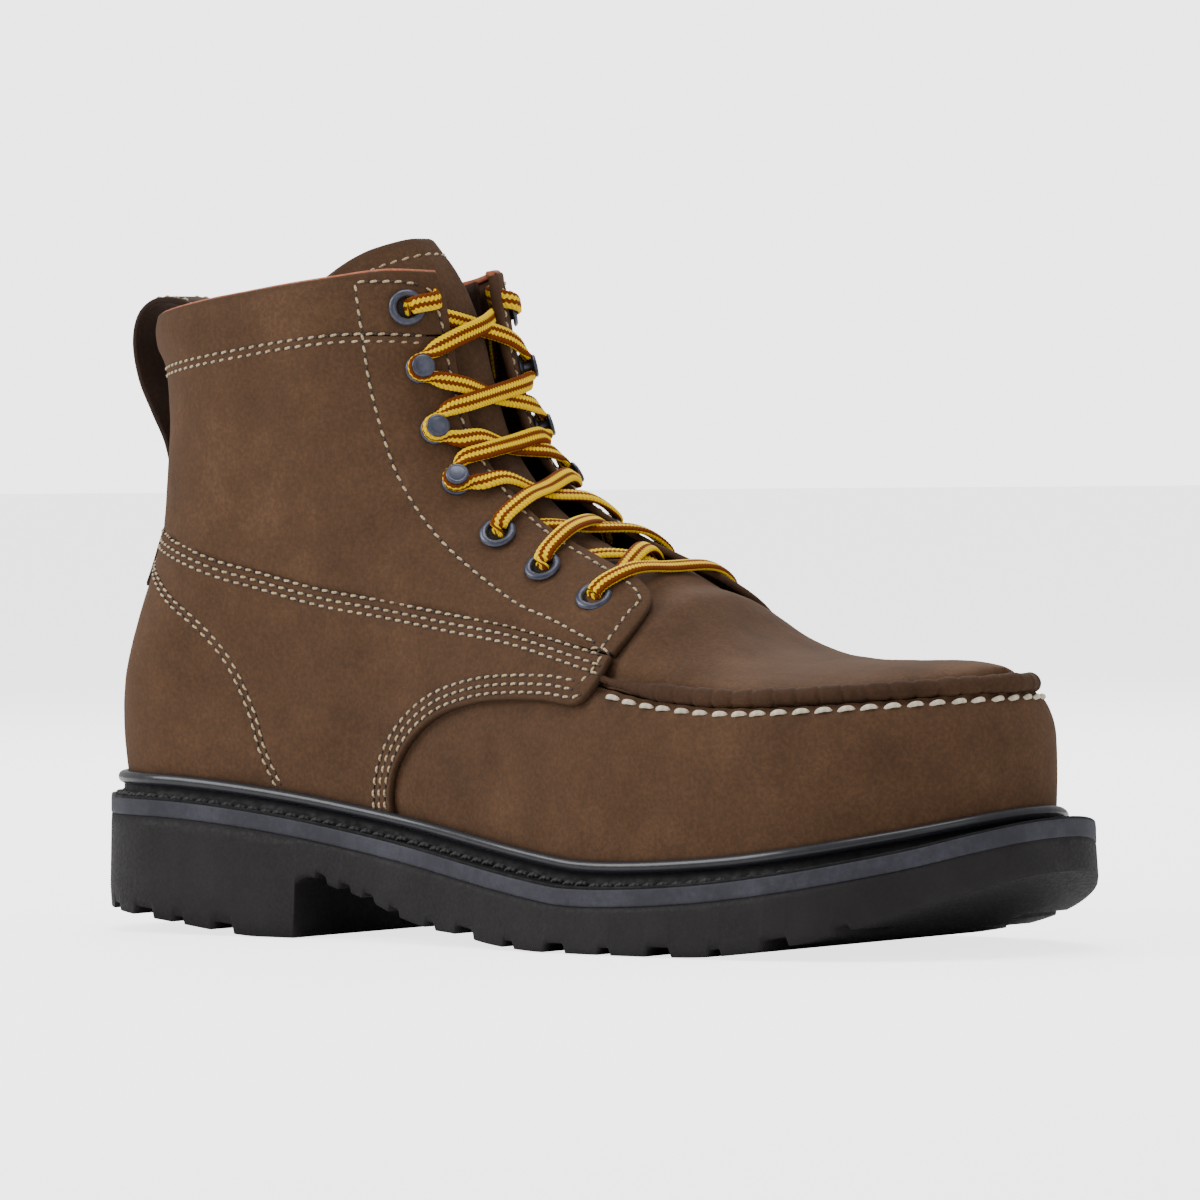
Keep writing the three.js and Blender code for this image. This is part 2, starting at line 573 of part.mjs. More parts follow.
// ---- Tongue ----
const TONGUE_DEPTH = 7.2; // under the facings
const tongueRise = through([[97, 6.2], [105, 6], [111, 5.5], [117, 5.1], [123, 4.2], [131, 3.2], [141, 2.9]]);
const tongueHalf = through([[90, 15], [110, 19], [140, 24], [175, 28], [195, 27]]);
const tongueLean = (z) => (z > 158 ? -0.0105 * (z - 158) ** 2 : 0);
function tongueLayer(depth) {
  const first = ridge.findIndex((p) => p.x > 200.5);
  const last = ridge.findIndex((p) => p.y < 197.5);
  return steps(14).map((t) => {
    const k = lerp(first, last, t);
    const a = ridge[Math.floor(k)];
    const b = ridge[Math.min(Math.floor(k) + 1, ridge.length - 1)];
    const base = a.clone().lerp(b, k - Math.floor(k));
    const along = b.clone().sub(a).normalize();
    const inward = new THREE.Vector2(along.y, -along.x);
    return steps(8).map((u) => {
      const y = (2 * u - 1) * tongueHalf(base.y);
      const side = y < 0 ? OUTER : INNER;
      const deep = depth - (TONGUE_DEPTH - tongueRise(base.y)) * smoothstep(-Math.abs(y), -12.5, -3);
      const d = search(
        (q) => upperHalf(base.x + inward.x * q, base.y + inward.y * q, side, deep) <= Math.abs(y), 0, 60,
      );
      const drop = t > 0.75 ? 7 * ((t - 0.75) / 0.25) ** 2 * (2 * u - 1) ** 4 : 0;
      const z = base.y + inward.y * d - drop;
      return new THREE.Vector3(base.x + inward.x * d + tongueLean(base.y + inward.y * depth), y, z);
    });
  });
}
add('tongue', between(tongueLayer(TONGUE_DEPTH), tongueLayer(TONGUE_DEPTH + 2.4)), 'leather');

// ---- Back strip and pull loop, one strap ----
const STRAP_HALF = 8;
function strap() {
  const line = new THREE.CatmullRomCurve3([[6.2, 96], [11.4, 106], [15.9, 116], [18.1, 126], [16.2, 136],
    [11.4, 145], [6.6, 154.5], [4.6, 164.5], [6.4, 172], [11.6, 176], [18.4, 176.4], [24.8, 174.6], [27.6, 169],
    [29.4, 161], [29.8, 154]].map(([x, z]) => new THREE.Vector3(x, 0, z)));
  const sections = steps(22).map((t) => {
    const p = line.getPoint(t);
    const d = line.getTangent(t);
    const out = new THREE.Vector3(-d.z, 0, d.x);
    const hug = p.z < 131 && t < 0.4 ? smoothstep(-p.z, -136, -118) : 0;
    const ring = [];
    for (const [layer, ys] of [[1.1, [-1, -0.5, 0, 0.5, 1]], [-1.1, [1, 0.5, 0, -0.5, -1]]]) {
      for (const y of ys) {
        const wrap = backSurface(Math.abs(y) * STRAP_HALF, p.z, y < 0 ? OUTER : INNER) - backX(p.z);
        ring.push(p.clone().addScaledVector(out, layer).add(new THREE.Vector3(hug * wrap, y * STRAP_HALF, 0)));
      }
    }
    return ring;
  });
  return sweep(sections, false);
}
add('pull_strap', strap(), 'suede');

// ---- Eyelets and hooks ----
function eyelet(x, z, side, lift) {
  const barrel = EYELET_BORE + 0.3;
  const profile = [[EYELET_BORE, -3.2], [barrel, -3],
    [barrel, 0.7], [EYELET_FLANGE, 0.6], [EYELET_FLANGE - 0.1, 1], [4.2, 1.5], [EYELET_BORE, 1.1], [EYELET_BORE, -3.2]];
  const ring = new THREE.LatheGeometry(profile.map(([r, h]) => new THREE.Vector2(r, h)), 14).rotateX(Math.PI / 2);
  return alongNormal(ring, x, z, side, lift);
}
function hook(x, z, side) {
  const profile = [[0, 0.4], [4.3, 0.4], [4.3, 0.9], [1.8, 1.1], [1.8, 3.6], [3.6, 3.7], [3.3, 4.6], [0, 5]];
  const stud = new THREE.LatheGeometry(profile.map(([r, h]) => new THREE.Vector2(r, h)), 12).rotateX(Math.PI / 2);
  return alongNormal(stud, x, z, side);
}
for (const [name, side] of Object.entries(SIDES)) {
  eyeletPlaces.forEach(([x, z], i) => add(`eyelet_${name}_${i + 1}`, eyelet(x, z, side, i ? 0.35 : 0.75), 'gunmetal'));
  hookPlaces.forEach(([x, z], i) => add(`hook_${name}_${i + 1}`, hook(x, z, side), 'gunmetal'));
}

// ---- Lace, from its middle at the lowest eyelets up each side in turn ----
const LACE_ON_EDGE = 2.6; // squeezed between a hook's base and cap
const STEM_TURN = 2.95; // lace's middle from a hook's middle
// How far along the ridge a place is, in ridge points.
function alongRidge(x, z) {
  let best = 0;
  let nearest = Infinity;
  for (let i = 0; i + 1 < ridge.length; i += 1) {
    const a = ridge[i];
    const b = ridge[i + 1];
    const t = clamp(((x - a.x) * (b.x - a.x) + (z - a.y) * (b.y - a.y)) / a.distanceToSquared(b), 0, 1);
    const d = Math.hypot(x - lerp(a.x, b.x, t), z - lerp(a.y, b.y, t));
    if (d < nearest) [nearest, best] = [d, i + t];
  }
  return best;
}
function ridgeFrame(k) {
  const a = ridge[Math.floor(k)];
  const b = ridge[Math.floor(k) + 1];
  const p = a.clone().lerp(b, k - Math.floor(k));
  const down = b.clone().sub(a).normalize();
  return { p, up: new THREE.Vector3(-down.x, 0, -down.y), out: new THREE.Vector3(-down.y, 0, down.x) };
}
const frontLine = [...steps(50).map((t) => facingFront(t)), ...steps(20).map((t) => collarFront(t))]
  .filter(([, z]) => z > 92)
  .map(([x, z]) => [alongRidge(x, z), x, z])
  .sort((a, b) => a[0] - b[0]);
const frontX = through(frontLine.map(([k, x]) => [k, x]).filter(([k], i, all) => !i || k > all[i - 1][0] + 0.05));
const frontZ = through(frontLine.map(([k, , z]) => [k, z]).filter(([k], i, all) => !i || k > all[i - 1][0] + 0.05));
// At a fitting: n out of the leather, rise up along the facing, away from the middle of the boot.
function fitting([x, z], side) {
  const n = outward(x, z, side);
  const { up } = ridgeFrame(alongRidge(x, z));
  const rise = up.clone().addScaledVector(n, -up.dot(n)).normalize();
  const away = n.clone().cross(rise).multiplyScalar(-side);
  const centre = onUpper(x, z, side);
  const at = (out, outwards, upward) => centre.clone().addScaledVector(n, out).addScaledVector(away, outwards)
    .addScaledVector(rise, upward);
  return { n, rise, away, at };
}
// Out through an eyelet, from under the facing to above it; leave is the way up or down that it goes on.
function outThrough(place, side, enter, leave) {
  const { n, away, at } = fitting(place, side);
  return [
    { p: at(-3.9, -2.6, enter), m: n.clone().negate().addScaledVector(away, -0.2) },
    { p: at(-2.2, -0.35, enter * 0.2), m: n.clone().lerp(away, 0.7).negate() },
    { p: at(-0.2, 0, 0), m: away.clone().negate() },
    { p: at(1.7, -0.5, leave * 0.2), m: away.clone().negate().addScaledVector(n, 0.7) },
    { p: at(2.5, -2.9, leave), m: n.clone() },
  ];
}
// Round the far side of a hook's stem on its edge, from below to above.
function roundHook(place, side) {
  const { n, rise, away, at } = fitting(place, side);
  const r = STEM_TURN;
  const knot = (outwards, up, m, width, out = 2.3) => ({ p: at(out, outwards, up), m, width });
  const slant = (a, up) => away.clone().multiplyScalar(a).addScaledVector(rise, up);
  return [
    knot(-5.4, -r - 1.6, n.clone(), LACE_WIDTH, 1.9),
    knot(-2.2, -r - 0.3, n.clone().addScaledVector(rise, -1), 3.6),
    knot(0, -r, rise.clone().negate(), LACE_ON_EDGE),
    knot(r * 0.71, -r * 0.71, slant(1, -1), LACE_ON_EDGE),
    knot(r, 0, away.clone(), LACE_ON_EDGE),
    knot(r * 0.71, r * 0.71, slant(1, 1), LACE_ON_EDGE),
    knot(0, r, rise.clone(), LACE_ON_EDGE),
    knot(-2.2, r + 0.3, n.clone().addScaledVector(rise, 1), 3.6),
    knot(-5.4, r + 1.6, n.clone(), LACE_WIDTH, 1.9),
  ];
}
// From one side's fitting to the other's: over its own facing's edge, over the tongue, and then over or
// under the other facing's edge. The strand that starts on the outer side lies on top.
function across(from, to, side, dives) {
  const [start, end] = [from, to].map(([x, z]) => alongRidge(x, z));
  const spread = ([x, z]) => upperHalf(x, z, side);
  const over = side === OUTER;
  const span = spread(from) + spread(to);
  const atEdge = (fraction, on, lift) => {
    const k = lerp(start, end, fraction);
    const [x, z] = [frontX(k), frontZ(k)];
    const n = outward(x, z, on);
    return { p: onUpper(x, z, on).addScaledVector(n, lift), m: n.clone(), half: upperHalf(x, z, on) };
  };
  const first = atEdge(0.2, side, 0).half;
  const leave = clamp((spread(from) - first) / span, 0.05, 0.45);
  const arrive = 1 - clamp((spread(to) - first) / span, 0.05, 0.45);
  const a = atEdge(leave, side, over ? 1.9 : 1.3);
  const b = atEdge(arrive, -side, dives ? -2.9 : (over ? 1.9 : 1.3));
  const { out } = ridgeFrame(lerp(start, end, 0.5));
  const centre = a.p.clone().lerp(b.p, (0.5 - leave) / (arrive - leave));
  const line = atEdge(0.5, OUTER, 0.9).p.setY(0);
  centre.setY(0).addScaledVector(out, line.clone().sub(centre).dot(out) + (over ? 1.25 : -0.95));
  return [a, { p: centre, m: out }, b];
}
const [topEyelet, thirdEyelet, secondEyelet, lowEyelet] = eyeletPlaces;
const [topHook, middleHook, lowHook] = hookPlaces;
const AGLET_TOP = 153;
const underLeather = (x, z, side) => onUpper(x, z, side).addScaledVector(outward(x, z, side), -3.45);
function laceHalf(side) {
  const other = -side;
  const tail = fitting(topEyelet, side);
  const { n, away } = tail;
  return [
    ...outThrough(lowEyelet, side, 1.5, 0).reverse().slice(0, 4),
    { p: fitting(lowEyelet, side).at(-4.3, -3, 2), m: fitting(lowEyelet, side).n.clone().negate() },
    ...across(lowEyelet, secondEyelet, side, true).slice(1),
    ...outThrough(secondEyelet, other, -1.5, 1.2),
    ...across(secondEyelet, thirdEyelet, other, true),
    ...outThrough(thirdEyelet, side, -1.5, 1.2),
    ...across(thirdEyelet, lowHook, side, false),
    ...roundHook(lowHook, other),
    ...across(lowHook, middleHook, other, false),
    ...roundHook(middleHook, side),
    ...across(middleHook, topHook, side, false),
    ...roundHook(topHook, other),
    ...across(topHook, topEyelet, other, true),
    ...outThrough(topEyelet, side, -1.5, 1.5),
    { p: tail.at(1.2, -6.1, 3.6), m: n.clone().addScaledVector(away, -0.6) },
    { p: tail.at(-1.6, -7.4, 5), m: away.clone().negate() },
    { p: tail.at(-4.1, -5.6, 5.6), m: n.clone().negate().addScaledVector(away, -0.3) },
    { p: tail.at(-4.7, 0.5, 5.2), m: n.clone().negate() },
    { p: tail.at(-4.4, 6.6, 1.5), m: n.clone().negate() },
    { p: underLeather(106.8, 165, side), m: n.clone().negate() },
    { p: underLeather(107.2, AGLET_TOP, side), m: n.clone().negate() },
  ];
}
function laceKnots() {
  const bar = ridgeFrame(alongRidge(...lowEyelet));
  const at = alongRidge(...lowEyelet);
  const middleOfBar = onUpper(frontX(at), frontZ(at), OUTER).setY(0).addScaledVector(bar.out, 1.9);
  const low = [OUTER, INNER].map((side) => ({
    p: onUpper(frontX(at), frontZ(at), side).addScaledVector(outward(frontX(at), frontZ(at), side), 1.6),
    m: outward(frontX(at), frontZ(at), side),
  }));
  return [...laceHalf(OUTER).reverse(), low[0], { p: middleOfBar, m: bar.out }, low[1], ...laceHalf(INNER)];
}
// Sections of a flat cord with rounded edges; a knot's width may be less than the lace's own.
function ribbon(knots, stations, thickness) {
  const curve = new THREE.CatmullRomCurve3(knots.map(({ p }) => p), false, 'centripetal');
  const flats = [];
  knots.forEach(({ m }, i) => flats.push(i && m.dot(flats[i - 1]) < 0 ? m.clone().negate() : m.clone()));
  return steps(stations).map((t) => {
    const k = Math.min(t * (knots.length - 1), knots.length - 1.001);
    const [i, part] = [Math.floor(k), k % 1];
    const p = curve.getPoint(t);
    const along = curve.getTangent(t);
    const flat = flats[i].clone().normalize().lerp(flats[i + 1].clone().normalize(), part);
    flat.addScaledVector(along, -flat.dot(along)).normalize();
    const width = lerp(knots[i].width ?? LACE_WIDTH, knots[i + 1].width ?? LACE_WIDTH, part);
    const sideways = along.clone().cross(flat);
    return [[1, 0], [0.62, 1], [-0.62, 1], [-1, 0], [-0.62, -1], [0.62, -1]].map(
      ([a, f]) => p.clone().addScaledVector(sideways, (a * width) / 2).addScaledVector(flat, (f * thickness) / 2),
    );
  });
}
// The lace is trimmed where it presses on a neighbour.
function lace() {
  const raw = sweep(ribbon(laceKnots(), 330, LACE_THICKNESS), false);
  const pressed = boot.children.filter(({ name }) => /^(shaft|collar|tongue|eyelet|hook|lining|quarter|vamp)/.test(name));
  const trimmed = pressed.reduce((solid, { geometry }) => solid.subtract(solidOf(geometry)), solidOf(raw));
  const parts = trimmed.decompose().sort((a, b) => b.volume() - a.volume());
  return geometryOf(parts[0]);
}
add('lace', lace(), 'lace');
for (const [name, side] of Object.entries(SIDES)) {
  const ends = [[107.2, AGLET_TOP - 0.4], [108, 144], [109.6, 136]];
  const knots = ends.map(([x, z]) => ({ p: underLeather(x, z, side), m: outward(x, z, side), width: 3.4 }));
  const tube = ribbon(knots, 6, 1.9);
  add(`aglet_${name}`, sweep(tube, false), 'suede');
}

// The origin is at the centre of the footprint, on the ground.
const extent = new THREE.Box3().setFromObject(boot);
boot.position.set(-(extent.min.x + extent.max.x) / 2, -(extent.min.y + extent.max.y) / 2, -extent.min.z);

export default boot;
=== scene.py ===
# A moc-toe safety boot for the right foot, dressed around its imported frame.
# Shapes are drawn in millimetres with the back of the heel at x = 0, then moved into the frame.
import math

import bpy
import bmesh
import numpy as np
from mathutils import Matrix, Vector


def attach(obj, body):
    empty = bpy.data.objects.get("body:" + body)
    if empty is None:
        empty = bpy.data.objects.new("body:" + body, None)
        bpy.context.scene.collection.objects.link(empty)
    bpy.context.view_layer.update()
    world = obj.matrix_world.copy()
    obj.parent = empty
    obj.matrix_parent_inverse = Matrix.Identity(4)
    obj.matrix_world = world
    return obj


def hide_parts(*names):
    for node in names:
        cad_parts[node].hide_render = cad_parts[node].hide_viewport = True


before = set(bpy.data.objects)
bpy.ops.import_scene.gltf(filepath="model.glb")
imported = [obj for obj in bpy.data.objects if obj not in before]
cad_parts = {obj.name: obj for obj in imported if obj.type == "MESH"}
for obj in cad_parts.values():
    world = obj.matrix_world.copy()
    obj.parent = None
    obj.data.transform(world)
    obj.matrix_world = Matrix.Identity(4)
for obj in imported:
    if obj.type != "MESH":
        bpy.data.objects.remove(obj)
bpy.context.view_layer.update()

outer, inner = -1, 1  # the outer side of the foot is at -Y
frameShift = np.array([-157.0, 0.218, 0.0])
dice = np.random.default_rng(7)


# Curves
def through(points):
    xs, ys = np.array(points, float).T
    slopes = np.empty(len(xs))
    slopes[1:-1] = (ys[2:] - ys[:-2]) / (xs[2:] - xs[:-2])
    slopes[0] = (ys[1] - ys[0]) / (xs[1] - xs[0])
    slopes[-1] = (ys[-1] - ys[-2]) / (xs[-1] - xs[-2])

    def height(x):
        x = np.clip(np.asarray(x, float), xs[0], xs[-1])
        i = np.clip(np.searchsorted(xs, x, side="right") - 1, 0, len(xs) - 2)
        h = xs[i + 1] - xs[i]
        t = (x - xs[i]) / h
        return (ys[i] * (1 + 2 * t) * (1 - t) ** 2 + slopes[i] * h * t * (1 - t) ** 2
                + ys[i + 1] * t * t * (3 - 2 * t) + slopes[i + 1] * h * t * t * (t - 1))
    return height


def lerp(a, b, t):
    return a + (b - a) * t


def ease(x, low, high):
    t = np.clip((np.asarray(x, float) - low) / (high - low), 0, 1)
    return t * t * (3 - 2 * t)


def arch(u, power=2.0):
    # rises from 0 to 1 as a quarter of a round end
    return (1 - (1 - np.clip(u, 0, 1)) ** power) ** (1 / power)


def spline(points, count):
    # evenly spread parameters of a uniform Catmull-Rom curve through the points
    p = np.array(points, float)
    t = np.linspace(0, len(p) - 1, count)
    i = np.minimum(t.astype(int), len(p) - 2)
    w = (t - i)[:, None]
    p0, p1 = p[np.maximum(i - 1, 0)], p[i]
    p2, p3 = p[i + 1], p[np.minimum(i + 2, len(p) - 1)]
    v0, v1 = (p2 - p0) / 2, (p3 - p1) / 2
    return ((2 * p1 - 2 * p2 + v0 + v1) * w ** 3 + (-3 * p1 + 3 * p2 - 2 * v0 - v1) * w ** 2 + v0 * w + p1)


def lengths(points):
    return np.concatenate([[0], np.cumsum(np.linalg.norm(np.diff(points, axis=0), axis=1))])


def edge(points, count=None):
    # a side-view line by its length, from 0 to 1
    line = spline(points, count or 24 * len(points))
    run = lengths(line)
    run = run / run[-1]

    def place(t):
        t = np.clip(t, 0, 1)
        return np.stack([np.interp(t, run, line[:, k]) for k in (0, 1)], -1)
    return place


def nearest(line, x, z):
    # distance to a line in the side view, the place along it in segments, and which side
    a, b = line[:-1], line[1:]
    d = b - a
    square = (d ** 2).sum(1)
    shape = np.shape(x)
    x, z = np.ravel(x), np.ravel(z)
    gap, at, way = np.empty(len(x)), np.empty(len(x)), np.empty(len(x))
    for s in range(0, len(x), 20000):
        px, pz = x[s:s + 20000, None], z[s:s + 20000, None]
        t = np.clip(((px - a[:, 0]) * d[:, 0] + (pz - a[:, 1]) * d[:, 1]) / square, 0, 1)
        r = np.hypot(px - a[:, 0] - t * d[:, 0], pz - a[:, 1] - t * d[:, 1])
        k = r.argmin(1)
        rows = np.arange(len(k))
        gap[s:s + 20000], at[s:s + 20000] = r[rows, k], k + t[rows, k]
        way[s:s + 20000] = np.sign(d[k, 1] * (px[:, 0] - a[k, 0]) - d[k, 0] * (pz[:, 0] - a[k, 1]))
    return gap.reshape(shape), at.reshape(shape), way.reshape(shape)


# The last's own shape, as the frame has it
bootSize = dict(length=314.0, heelBack=4.5, toeLedge=10.0, shaftHalf=38.0)
upperTip = bootSize["length"] - bootSize["toeLedge"]
centreLine = through([[0, 0], [60, 1], [130, 3], [200, 3], [260, 4], [314, 6]])
soleWidth = {
    outer: through([[0, 39], [40, 39.5], [85, 40], [125, 44], [165, 53], [205, 59], [245, 59], [314, 56]]),
    inner: through([[0, 39], [40, 38.5], [85, 34], [125, 32], [165, 43], [210, 52], [245, 52], [314, 50]]),
}
ledge = through([[0, 4], [60, 5], [120, 6.5], [220, 8], [314, 9]])
treadLine = through([[0, 7.5], [22, 5.6], [41, 3.6], [55, 1.8], [66, 0.5], [74, 0], [87.5, 0], [88.5, 15],
                     [104, 14], [116, 11], [128, 7], [142, 4.2], [152, 3.4], [168, 1.1], [186, 0], [228, 0],
                     [245, 0.5], [258, 2.2], [271, 4.6], [286, 9], [300, 14.6], [314, 21.5]])
ledgeZ = through([[0, 38], [36, 37.8], [57, 36.5], [83, 33.7], [109, 30.1], [132, 26.7], [158, 22.7], [179, 19.6],
                  [194, 18], [215, 18.2], [241, 20], [263, 22.8], [281, 26], [296, 29.5], [307, 33.2], [314, 36]])
backX = through([[38, 6], [50, 4.4], [60, 4], [72, 5.2], [86, 9.4], [100, 14.6], [112, 18.4], [128, 20.6],
                 [142, 21.6], [156, 20.6], [164, 18.6], [171, 18], [180, 20], [200, 26]])
tipX = through([[30, upperTip], [56, upperTip + 0.4], [66, 301.5], [72, 298.5], [78, 294]])
ridge = spline([[112.5, 212], [119.5, 190], [122.5, 180], [126.7, 160], [132.7, 141], [139.2, 131], [148, 123],
                [158.5, 116.5], [170.2, 111], [184.3, 105], [199, 97.5], [210, 90], [220, 83.5], [232, 79],
                [246, 76.8], [262, 76.4], [280, 76.4], [292, 75.5], [302, 74], [325, 72]], 91)
ridgeRound = through([[118, 46], [160, 42], [196, 34], [225, 20], [250, 16], [314, 16]])


def treadZ(x):
    return np.maximum(treadLine(x), 0)


def soleHalf(x, side):
    return soleWidth[side](x) * arch(np.asarray(x) / 38) * arch((bootSize["length"] - x) / 62, 2.15)


def toRidge(x, z):
    gap, _, way = nearest(ridge, x, z)
    return gap * way


def upperHalf(x, z, side, inset=0.0):
    width = lerp(soleWidth[side](x) - ledge(x), bootSize["shaftHalf"], ease(z, 48, 118)) - inset
    tuck = 1 - 0.03 * np.exp(-np.maximum(z - ledgeZ(x), 0) / 8)
    return (width * tuck
            * arch((toRidge(x, z) - inset) / ridgeRound(x), 2.2)
            * arch((x - backX(z) - inset) / lerp(34, 46, ease(z, 60, 120)))
            * arch((tipX(z) - inset - x) / 54, 2.1))


def onUpper(x, z, side, inset=0.0):
    middle = centreLine(x) * ease(-np.asarray(z, float), -150, -60)
    return np.stack([x, middle + side * upperHalf(x, z, side, inset), z], -1)


def outward(x, z, side):
    h = 0.08
    slopeX = (upperHalf(x + h, z, side) - upperHalf(x - h, z, side)) / (2 * h)
    slopeZ = (upperHalf(x, z + h, side) - upperHalf(x, z - h, side)) / (2 * h)
    n = np.stack([-slopeX, np.full(np.shape(slopeX), float(side)), -slopeZ], -1)
    onMiddle = (upperHalf(x, z, side) < 1e-4)[..., None]
    n = np.where(onMiddle, n * [1, 0, 1], n)
    return n / np.maximum(np.linalg.norm(n, axis=-1, keepdims=True), 1e-9)


def search(inside, low, high, rounds=24):
    for _ in range(rounds):
        m = (low + high) / 2
        ok = inside(m)
        low, high = np.where(ok, m, low), np.where(ok, high, m)
    return low


def topZ(x):
    x = np.asarray(x, float)
    return search(lambda z: toRidge(x, z) > 0, ledgeZ(x) + 8, np.full(x.shape, 215.0))


def unit(v):
    return v / np.maximum(np.linalg.norm(v, axis=-1, keepdims=True), 1e-9)


# Mesh making
def piece(name, verts, faces, body="boot", replaces=(), attributes=None, tidy=True):
    mesh = bpy.data.meshes.new(name)
    mesh.from_pydata(((np.asarray(verts) + frameShift) * 0.001).tolist(), [], faces)
    for key, values in (attributes or {}).items():
        layer = mesh.attributes.new(key, "FLOAT", "POINT")
        layer.data.foreach_set("value", np.asarray(values, np.float32).ravel())
    mesh.validate()
    bm = bmesh.new()
    bm.from_mesh(mesh)
    if tidy:
        bmesh.ops.remove_doubles(bm, verts=bm.verts, dist=1e-6)
        bmesh.ops.dissolve_degenerate(bm, edges=bm.edges, dist=1e-7)
    bmesh.ops.recalc_face_normals(bm, faces=bm.faces)
    bm.to_mesh(mesh)
    bm.free()
    mesh.polygons.foreach_set("use_smooth", [True] * len(mesh.polygons))
    obj = bpy.data.objects.new(name, mesh)
    bpy.context.scene.collection.objects.link(obj)
    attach(obj, body)
    if replaces:
        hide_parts(*replaces)
    return obj


def gridFaces(rows, columns, start=0, wrap=False):
    i, j = np.meshgrid(np.arange(rows - 1), np.arange(columns if wrap else columns - 1), indexing="ij")
    a = start + i * columns + j
    b = start + i * columns + (j + 1) % columns
    return np.stack([a, b, b + columns, a + columns], -1).reshape(-1, 4).tolist()


def shell(front, back):
    # a closed body between two grids of points
    rows, columns = front.shape[:2]
    half = rows * columns
    faces = gridFaces(rows, columns) + gridFaces(rows, columns, half)
    rim = (list(range(columns)) + [i * columns + columns - 1 for i in range(1, rows)]
           + [(rows - 1) * columns + k for k in range(columns - 2, -1, -1)]
           + [i * columns for i in range(rows - 2, 0, -1)])
    for a, b in zip(rim, rim[1:] + rim[:1]):
        faces.append([a, b, half + b, half + a])
    return np.concatenate([front.reshape(-1, 3), back.reshape(-1, 3)]), faces


def tube(sections, closed=False):
    # sections: (stations, ring, 3)
    count, ring = sections.shape[:2]
    faces = gridFaces(count, ring, wrap=True)
    if closed:
        last = (count - 1) * ring
        faces += [[last + j, last + (j + 1) % ring, (j + 1) % ring, j] for j in range(ring)]
    else:
        faces += [list(range(ring)), [(count - 1) * ring + j for j in range(ring)]]
    return sections.reshape(-1, 3), faces


def lathe(profile, around=48):
    # rings of a turned part about +Z, (points, around, 3)
    turn = np.linspace(0, 2 * np.pi, around, endpoint=False)
    r, h = np.array(profile, float).T
    r = r[:, None]
    return np.stack([r * np.cos(turn), r * np.sin(turn), np.repeat(h[:, None], around, 1)], -1)


def ringSection(width, thickness, points=16, square=2.6):
    # an oval with flat faces: across, up
    turn = np.linspace(0, 2 * np.pi, points, endpoint=False)
    c, s = np.cos(turn), np.sin(turn)
    return np.stack([np.sign(c) * np.abs(c) ** (2 / square) * width / 2,
                     np.sign(s) * np.abs(s) ** (2 / square) * thickness / 2], -1)


def softNoise(x, y, scale, seed):
    # a few crossed waves: smooth unevenness between -1 and 1
    rng = np.random.default_rng(seed)
    total = np.zeros(np.shape(x))
    for _ in range(6):
        angle, phase, size = rng.uniform(0, 2 * np.pi), rng.uniform(0, 2 * np.pi), rng.uniform(0.6, 1.5)
        along = x * math.cos(angle) + y * math.sin(angle)
        total = total + np.sin(along * 2 * np.pi / (scale * size) + phase)
    return total / 6


# Seams and edges, in the side view
tripleSeam = edge([[12, 114], [34, 110.3], [48, 106.7], [61, 103.4], [73, 100.6], [95, 96], [118, 92.5], [141, 89.1],
                   [165, 85.4], [186, 80.9], [199.4, 78]])
collarSeam = edge([[18, 156], [32, 157.4], [63, 160.8], [86, 163.7], [103, 165], [124.2, 164.5]])
collarTop = edge([[16, 171], [38, 173.2], [64, 176.4], [97, 180.6], [111.5, 182.6], [119.9, 182.2]])
quarterFront = edge([[119, 25], [119, 34], [119, 40.4], [121.8, 48.1], [128.8, 55.9], [139.2, 61.7], [153.7, 65.2],
                     [167.6, 66.3], [181.2, 66.2], [192.5, 65.3], [197.5, 70.1], [199.4, 77.6]])
facingFront = edge([[199.6, 78.4], [201.2, 84.5], [200, 91.6], [194.3, 96.4], [188, 99.8], [177.3, 104.7],
                    [166.8, 109.2], [157.2, 114.1], [147.2, 120.9], [138.2, 129.2], [132.2, 138], [128.8, 146.8],
                    [126, 156.5], [124.3, 164.2]])
collarFront = edge([[124, 164.9], [123, 170], [121.4, 177.7], [119.8, 182.2]])
mocSeam = edge([[198, 70.2], [206, 68.3], [214, 66.9], [221, 66.1], [234, 65], [247, 64.8], [266, 65.7],
                [282, 66.8], [294, 67.8], [300.9, 68.2]])


def patch(low, high, left, right):
    # places inside four edges: low and high run with u, left and right with v
    def at(u, v):
        u, v = np.meshgrid(u, v, indexing="ij")
        uu, vv = u[..., None], v[..., None]
        flat = (lerp(left(v), right(v), uu) + lerp(low(u), high(u), vv)
                - lerp(lerp(low(np.zeros_like(u)), low(np.ones_like(u)), uu),
                       lerp(high(np.zeros_like(u)), high(np.ones_like(u)), uu), vv))
        return flat[..., 0], flat[..., 1]
    return at


def fromBack(line):
    # a line from the back seam forwards, over evenly spaced x
    table = line(np.linspace(0, 1, 61))
    keep = [0] + [i for i in range(1, 61) if table[i, 0] > table[i - 1, 0] + 0.2]
    height = through(table[keep])
    start, end = float(backX(table[0, 1])), table[60, 0]

    def place(u):
        x = lerp(start, end, np.asarray(u, float))
        return np.stack([x, height(x)], -1)
    return place


def above(line, amount):
    return lambda t: line(t) + [0, amount]


def seamBack(low, high):
    def place(v):
        z = lerp(low, high, np.asarray(v, float))
        return np.stack([backX(z), z], -1)
    return place


